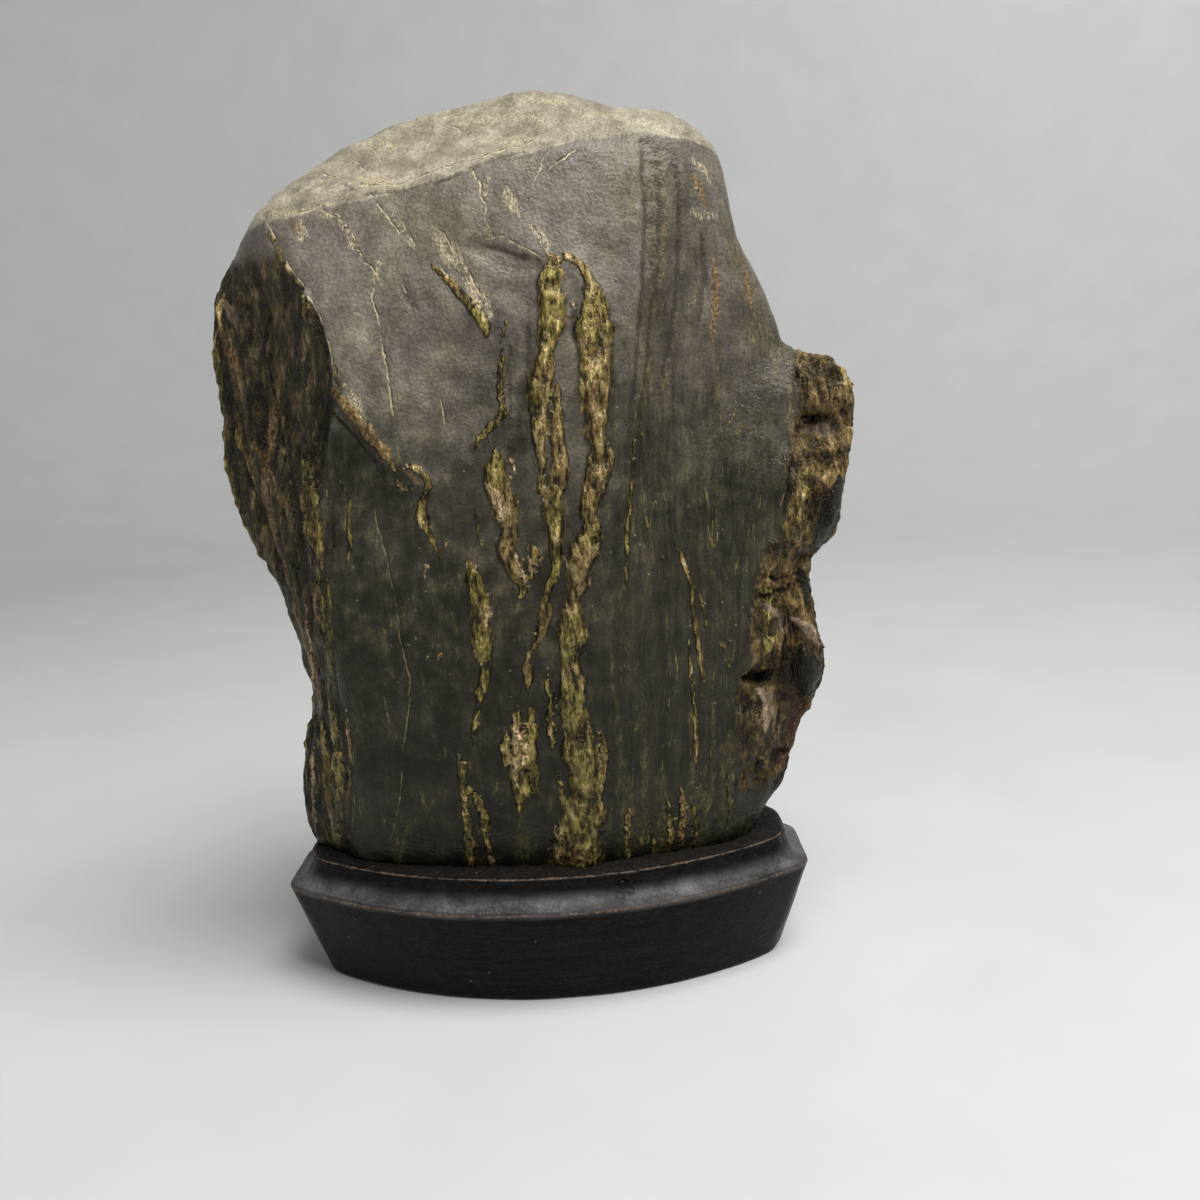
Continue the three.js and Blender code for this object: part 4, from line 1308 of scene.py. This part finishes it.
def stone_veins(tree, grains, dry_and_top_light, colour):
    """Gnarled ochre veins laid on the stone, with olive stains beside them."""
    stain = ragged(tree, kept(tree, "olive"), grains["edge"], 2.6, 0.6)
    colour = partly_laid(tree, stain, 0.4, colour, shades(tree, grains["fibre"], OLIVE_SHADES))
    ochre = kept(tree, "ochre")
    shadow = eased(tree, ochre, -0.4, 0.0, 0.0, 0.5)
    colour = laid(tree, shadow, colour, VEIN_SHADOW)
    # The palest gold shades are painted highlights on the gnarl crests, whose grain the relief shares.
    gnarl = added(tree, grains["mottle"], grains["fibre"], 0.6)
    hue = eased(tree, grains["cloud"], 0.44, 0.6)
    gold = laid(tree, hue, shades(tree, gnarl, OLIVE_GOLD), shades(tree, gnarl, BROWN_GOLD))
    # Veins painted lighter towards the top: painted light from above.
    gold = laid(tree, 1.0, gold, eased(tree, dry_and_top_light, 0.25, 0.9, 0.8, 1.4), "MULTIPLY")
    return laid(tree, ragged(tree, ochre, grains["edge"], 1.6, 0.12), colour, gold)


def stone_cracks(tree, grains, dry_and_top_light, colour):
    """Fine broken cracks, pale along one lip and painted shade along the other, with painted shade in the
    furrows and the dark slots.
    """
    # Painted shade along the furrows.
    shaded_furrow = ragged(tree, kept(tree, "shaded_furrow"), grains["edge"], 1.8, 0.5)
    colour = partly_laid(tree, shaded_furrow, 0.6, colour, FURROW_SHADE_BROWN)
    # Painted shade inside the sunk slots.
    slot = eased(tree, kept(tree, "slot"), -0.1, 0.4)
    colour = partly_laid(tree, slot, 0.95, colour, SLOT_AND_CRACK_SHADE)
    away = added(tree, kept(tree, "crack"), grains["crumb"], 0.35)
    shown = sums(tree, "MULTIPLY", kept(tree, "crack_shown"), eased(tree, grains["mottle"], 0.42, 0.54))
    width = eased(tree, grains["edge"], 0.3, 0.7, 0.06, 0.36)
    # The dark lip is painted shade; the pale lip is the crack's cream colour.
    lips = ((-0.2, 0.7, SLOT_AND_CRACK_SHADE), (0.12, 0.9, laid(tree, dry_and_top_light, DULL_CRACK, CREAM)))
    for shift, strength, lip_colour in lips:
        gap = sums(tree, "ABSOLUTE", sums(tree, "ADD", away, shift))
        line = sums(tree, "SUBTRACT", 1.0, eased(tree, gap, sums(tree, "MULTIPLY", width, 0.4), width))
        line = sums(tree, "MULTIPLY", sums(tree, "MULTIPLY", line, shown), strength)
        colour = laid(tree, line, colour, lip_colour)
    return colour


def slate_relief(tree, grains):
    """Fine relief of the stone in mm, all in one height."""
    crusted = eased(tree, sums(tree, "MAXIMUM", kept(tree, "ochre"), kept(tree, "blush")), -0.25, 0.3)
    craggy = sums(tree, "MAXIMUM", kept(tree, "knobs"), kept(tree, "flank"))
    rugged = sums(tree, "MAXIMUM", crusted, craggy)
    ribbed = sums(tree, "MULTIPLY_ADD", kept(tree, "ribbed"), 0.08, 0.02)
    height = sums(tree, "MULTIPLY", grains["sand"], 0.2)
    height = sums(tree, "MULTIPLY_ADD", grains["fine"], ribbed, height)
    strand_depth = sums(tree, "MULTIPLY_ADD", craggy, 0.5, sums(tree, "MULTIPLY", rugged, 0.4))
    height = sums(tree, "MULTIPLY_ADD", grains["fibre"], strand_depth, height)
    height = sums(tree, "MULTIPLY_ADD", grains["mottle"], rugged, height)
    return relief(tree, height)


def slate_finish():
    """Dark bedded slate: dry and pale towards the top, partly painted light from above, waxed and partly
    painted shade below, with crusted veins.
    """
    material, tree, surface = new_finish("waxed_slate")
    grains = slate_grains(tree)
    # The paler dry top: partly painted light from above.
    drift = added(tree, kept(tree, "dry_and_top_light"), grains["cloud"], 0.9)
    dry_and_top_light = sums(tree, "MAXIMUM", sums(tree, "MINIMUM", added(tree, drift, grains["streaks"], 0.18), 1.0), 0.0)
    colour = stone_ground(tree, grains, dry_and_top_light)
    # Pale crown colour: partly the stone's own, partly painted light on the up-facing top.
    crown = ragged(tree, shared(tree, "crown"), grains["patch"], 1.2, 0.25)
    colour = partly_laid(tree, crown, 0.85, colour, shades(tree, grains["patch"], CROWN_SHADES))
    colour = stone_veins(tree, grains, dry_and_top_light, colour)
    for name, crumble, amount, soft, strength, grain, stops in CRUSTS:
        crust = ragged(tree, kept(tree, name), grains[crumble], amount, soft)
        colour = partly_laid(tree, crust, strength, colour, shades(tree, grains[grain], stops))
    # Cream scars with painted highlights and painted glints along the edges.
    scar_and_highlight = eased(tree, kept(tree, "cream"), -0.7, 0.5)
    curl = sums(tree, "ABSOLUTE", sums(tree, "SUBTRACT", grains["fibre"], 0.52))
    flecks_and_glints = sums(tree, "MULTIPLY", eased(tree, curl, 0.05, 0.015), scar_and_highlight)
    colour = partly_laid(tree, scar_and_highlight, 0.3, colour, shades(tree, grains["crumb"], SCAR_SHADES))
    colour = partly_laid(tree, flecks_and_glints, 0.75, colour, CREAM)
    colour = stone_cracks(tree, grains, dry_and_top_light, colour)
    # Pale specks of the stone, partly painted glints.
    colour = laid(tree, eased(tree, grains["specks"], 0.06, 0.035, 0.0, 0.4), colour, PALE_SPECK_AND_GLINT)
    colour = laid(tree, 1.0, colour, eased(tree, grains["sand"], 0.3, 0.7, 0.82, 1.18), "MULTIPLY")
    # Painted light on the crests and painted shade in the hollows of the relief.
    colour = laid(tree, 1.0, colour, eased(tree, kept(tree, "relief"), -0.9, 0.8, 0.4, 1.45), "MULTIPLY")
    feed(tree, surface.inputs["Base Color"], colour)

    rough = eased(tree, grains["patch"], 0.32, 0.68, 0.32, 0.5)
    rough = sums(tree, "MULTIPLY_ADD", dry_and_top_light, 0.02, rough)
    rugged = sums(tree, "MAXIMUM", kept(tree, "knobs"), kept(tree, "flank"))
    rough = sums(tree, "MULTIPLY_ADD", rugged, -0.08, rough)
    rough = sums(tree, "MULTIPLY_ADD", eased(tree, kept(tree, "ochre"), -0.2, 0.2), -0.08, rough)
    rough = sums(tree, "MULTIPLY_ADD", eased(tree, kept(tree, "gloss"), -0.2, 0.2), -0.18, rough)
    feed(tree, surface.inputs["Roughness"], rough)
    surface.inputs["Specular IOR Level"].default_value = SLATE_SHINE
    surface.inputs["Specular Tint"].default_value = (*SLATE_SHINE_TINT, 1.0)
    feed(tree, surface.inputs["Normal"], slate_relief(tree, grains))
    return material


# Stand marks: photo points and radii in mm of small ring-shaped dents.
RING_DENTS = (
    ((451, 912), 0.9), ((478, 913), 0.9), ((489, 911), 0.9),
    ((623, 885), 0.9), ((630, 891), 0.7), ((620, 896), 0.7),
)
LACQUER_SHADES = (
    (0.3, (0.0025, 0.0025, 0.0025)), (0.5, (0.006, 0.0059, 0.0058)), (0.7, (0.012, 0.0117, 0.0115)),
)
COVE_SHADES = ((0.3, (0.035, 0.032, 0.032)), (0.5, (0.09, 0.083, 0.084)), (0.72, (0.18, 0.167, 0.167)))
LEDGE_SHADES = (
    (0.3, (0.005, 0.004, 0.0033)), (0.55, (0.014, 0.011, 0.009)), (0.75, (0.05, 0.038, 0.03)),
)
CRAZE_DARK = (0.012, 0.01, 0.01)
DUST = (0.22, 0.2, 0.18)
LACQUER_SHINE = 0.07
WOOD_SHADES = ((0.3, (0.05, 0.034, 0.024)), (0.6, (0.16, 0.115, 0.084)), (0.8, (0.36, 0.28, 0.22)))


def ring_dents(tree, stand, coords):
    """Height of the ring-shaped dents in the stand."""
    search = surface_tree(stand)
    height = 0.0
    for (across, down), radius in RING_DENTS:
        place = search.ray_cast(CAMERA_PLACE, sight(across, down))[0]
        span = tree.nodes.new("ShaderNodeVectorMath")
        span.operation = "DISTANCE"
        feed(tree, span.inputs[0], coords)
        span.inputs[1].default_value = place / MM
        ring = sums(tree, "ABSOLUTE", sums(tree, "SUBTRACT", span.outputs["Value"], radius))
        height = sums(tree, "ADD", height, eased(tree, ring, 0.0, 0.4, -0.25, 0.0))
    return height


def lacquer_finish(stand):
    """Black satin lacquer over wood, worn brown on the edges."""
    material, tree, surface = new_finish("worn_black_lacquer")
    plain = in_mm(tree)
    along = in_mm(tree, (0.05, 1.0, 1.0))
    grain = speckle(tree, along, 0.9, 5.0, 0.6, 0.5)
    cloud = speckle(tree, plain, 0.12, 4.0, 0.6, 0.5)
    crumb = speckle(tree, plain, 1.3, 4.0, 0.65)
    edge = speckle(tree, in_mm(tree, (0.35, 1.0, 1.0)), 0.7, 5.0, 0.7, 0.4)
    crackle = cells(tree, plain, 0.75, "DISTANCE_TO_EDGE")
    cove = kept(tree, "cove")
    ledge = kept(tree, "ledge")
    skin = added(tree, grain, crumb, 0.9)
    # Paler cove colour on the lower cove and arris: a painted reflection of the overhead light.
    colour = laid(tree, cove, shades(tree, skin, LACQUER_SHADES), shades(tree, cloud, COVE_SHADES))
    crazed = sums(tree, "MULTIPLY", eased(tree, crackle, 0.08, 0.02, 0.0, 0.5), cove)
    colour = laid(tree, crazed, colour, CRAZE_DARK)
    colour = laid(tree, ledge, colour, shades(tree, crumb, LEDGE_SHADES))
    worn = ragged(tree, sums(tree, "MULTIPLY_ADD", kept(tree, "worn"), 2.0, -1.7), edge, 2.4, 0.2)
    colour = partly_laid(tree, worn, 0.8, colour, shades(tree, crumb, WOOD_SHADES))
    dust = eased(tree, cells(tree, plain, 0.16), 0.06, 0.03, 0.0, 0.5)
    colour = laid(tree, dust, colour, DUST)
    feed(tree, surface.inputs["Base Color"], colour)
    rough = eased(tree, cloud, 0.3, 0.7, 0.3, 0.44)
    rough = sums(tree, "MULTIPLY_ADD", ledge, 0.25, rough)
    rough = sums(tree, "MULTIPLY_ADD", worn, 0.12, rough)
    feed(tree, surface.inputs["Roughness"], rough)
    surface.inputs["Specular IOR Level"].default_value = LACQUER_SHINE
    height = sums(tree, "MULTIPLY_ADD", grain, 0.1, ring_dents(tree, stand, plain))
    height = sums(tree, "MULTIPLY_ADD", crumb, sums(tree, "MULTIPLY_ADD", ledge, 0.4, 0.07), height)
    feed(tree, surface.inputs["Normal"], relief(tree, height))
    return material


# Stage

FLOOR_REACH = 0.75
SWEEP_RADIUS = 0.5
WALL_HEIGHT = 2.0
SWEEP_ROWS = 12
SWEEP_STEPS = 96
PAPER_SHADES = ((0.3, (0.6, 0.606, 0.6)), (0.7, (0.63, 0.635, 0.63)))


def make_backdrop():
    """A round floor that sweeps up into a wall."""
    bm = bmesh.new()
    profile = [bm.verts.new((0.0, 0.0, 0.0)), bm.verts.new((FLOOR_REACH, 0.0, 0.0))]
    for index in range(1, SWEEP_ROWS + 1):
        turn = math.pi / 2 * index / SWEEP_ROWS
        across = FLOOR_REACH + SWEEP_RADIUS * math.sin(turn)
        profile.append(bm.verts.new((across, 0.0, SWEEP_RADIUS * (1 - math.cos(turn)))))
    profile.append(bm.verts.new((FLOOR_REACH + SWEEP_RADIUS, 0.0, WALL_HEIGHT)))
    for first, second in zip(profile, profile[1:]):
        bm.edges.new((first, second))
    bmesh.ops.spin(
        bm, geom=list(bm.verts) + list(bm.edges), cent=(0, 0, 0), axis=(0, 0, 1),
        dvec=(0, 0, 0), angle=math.tau, steps=SWEEP_STEPS, use_merge=True,
    )
    bmesh.ops.remove_doubles(bm, verts=bm.verts, dist=0.0001)
    bmesh.ops.recalc_face_normals(bm, faces=bm.faces)
    mesh = bpy.data.meshes.new("backdrop")
    bm.to_mesh(mesh)
    bm.free()
    mesh.flip_normals()
    mesh.shade_smooth()
    backdrop = bpy.data.objects.new("backdrop", mesh)
    bpy.context.scene.collection.objects.link(backdrop)
    material, tree, surface = new_finish("pale_paper")
    paper = speckle(tree, in_mm(tree), 0.02, 3.0, 0.5)
    feed(tree, surface.inputs["Base Color"], shades(tree, paper, PAPER_SHADES))
    surface.inputs["Roughness"].default_value = 0.7
    surface.inputs["Specular IOR Level"].default_value = 0.2
    mesh.materials.append(material)


# Name, place, aim, side lengths and power of each soft light.
SOFT_LIGHTS = (
    ("overhead", (0.26, -0.26, 0.8), (0.0, 0.0, 0.08), (0.6, 0.45), 9.6),
    ("front_fill", (-0.35, -0.85, 0.7), (0.0, 0.0, 0.1), (0.8, 0.8), 0.9),
    ("backdrop_glow", (0.5, 0.45, 0.9), (0.36, 1.25, 0.68), (0.35, 0.3), 3.8),
)
ROOM_LIGHT = 0.05
ROOM_TINT = (0.95, 0.98, 1.0)


def make_lights():
    """Plain soft studio light."""
    for name, place, aim, sides, power in SOFT_LIGHTS:
        lamp = bpy.data.lights.new(name, "AREA")
        lamp.shape = "RECTANGLE"
        lamp.size = sides[0]
        lamp.size_y = sides[1]
        lamp.energy = power
        holder = bpy.data.objects.new(name, lamp)
        holder.location = place
        holder.rotation_euler = (Vector(aim) - Vector(place)).to_track_quat("-Z", "Y").to_euler()
        holder.visible_camera = False
        bpy.context.scene.collection.objects.link(holder)
    room = bpy.data.worlds.new("room")
    room.use_nodes = True
    air = room.node_tree.nodes["Background"]
    air.inputs["Color"].default_value = (*ROOM_TINT, 1.0)
    air.inputs["Strength"].default_value = ROOM_LIGHT
    bpy.context.scene.world = room
    bpy.context.scene.view_settings.view_transform = "Standard"


def make_camera():
    """The camera at the photograph's place."""
    lens = bpy.data.cameras.new("camera")
    lens.lens = LENS
    lens.sensor_width = SENSOR_WIDTH
    lens.clip_start, lens.clip_end = CLIP
    camera = bpy.data.objects.new("camera", lens)
    camera.matrix_world = Matrix.Translation(CAMERA_PLACE) @ CAMERA_TURN.to_4x4()
    bpy.context.scene.collection.objects.link(camera)
    bpy.context.scene.camera = camera


def dress(piece, material, node):
    """Gives a piece its finish and puts it in place of its CAD node."""
    piece.data.materials.clear()
    piece.data.materials.append(material)
    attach(piece, "root")
    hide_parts(node)


make_camera()
make_backdrop()
make_lights()
stone = make_stone()
stand = make_stand(stone)
dress(stone, slate_finish(), "stone")
dress(stand, lacquer_finish(stand), "stand")

bpy.context.view_layer.update()
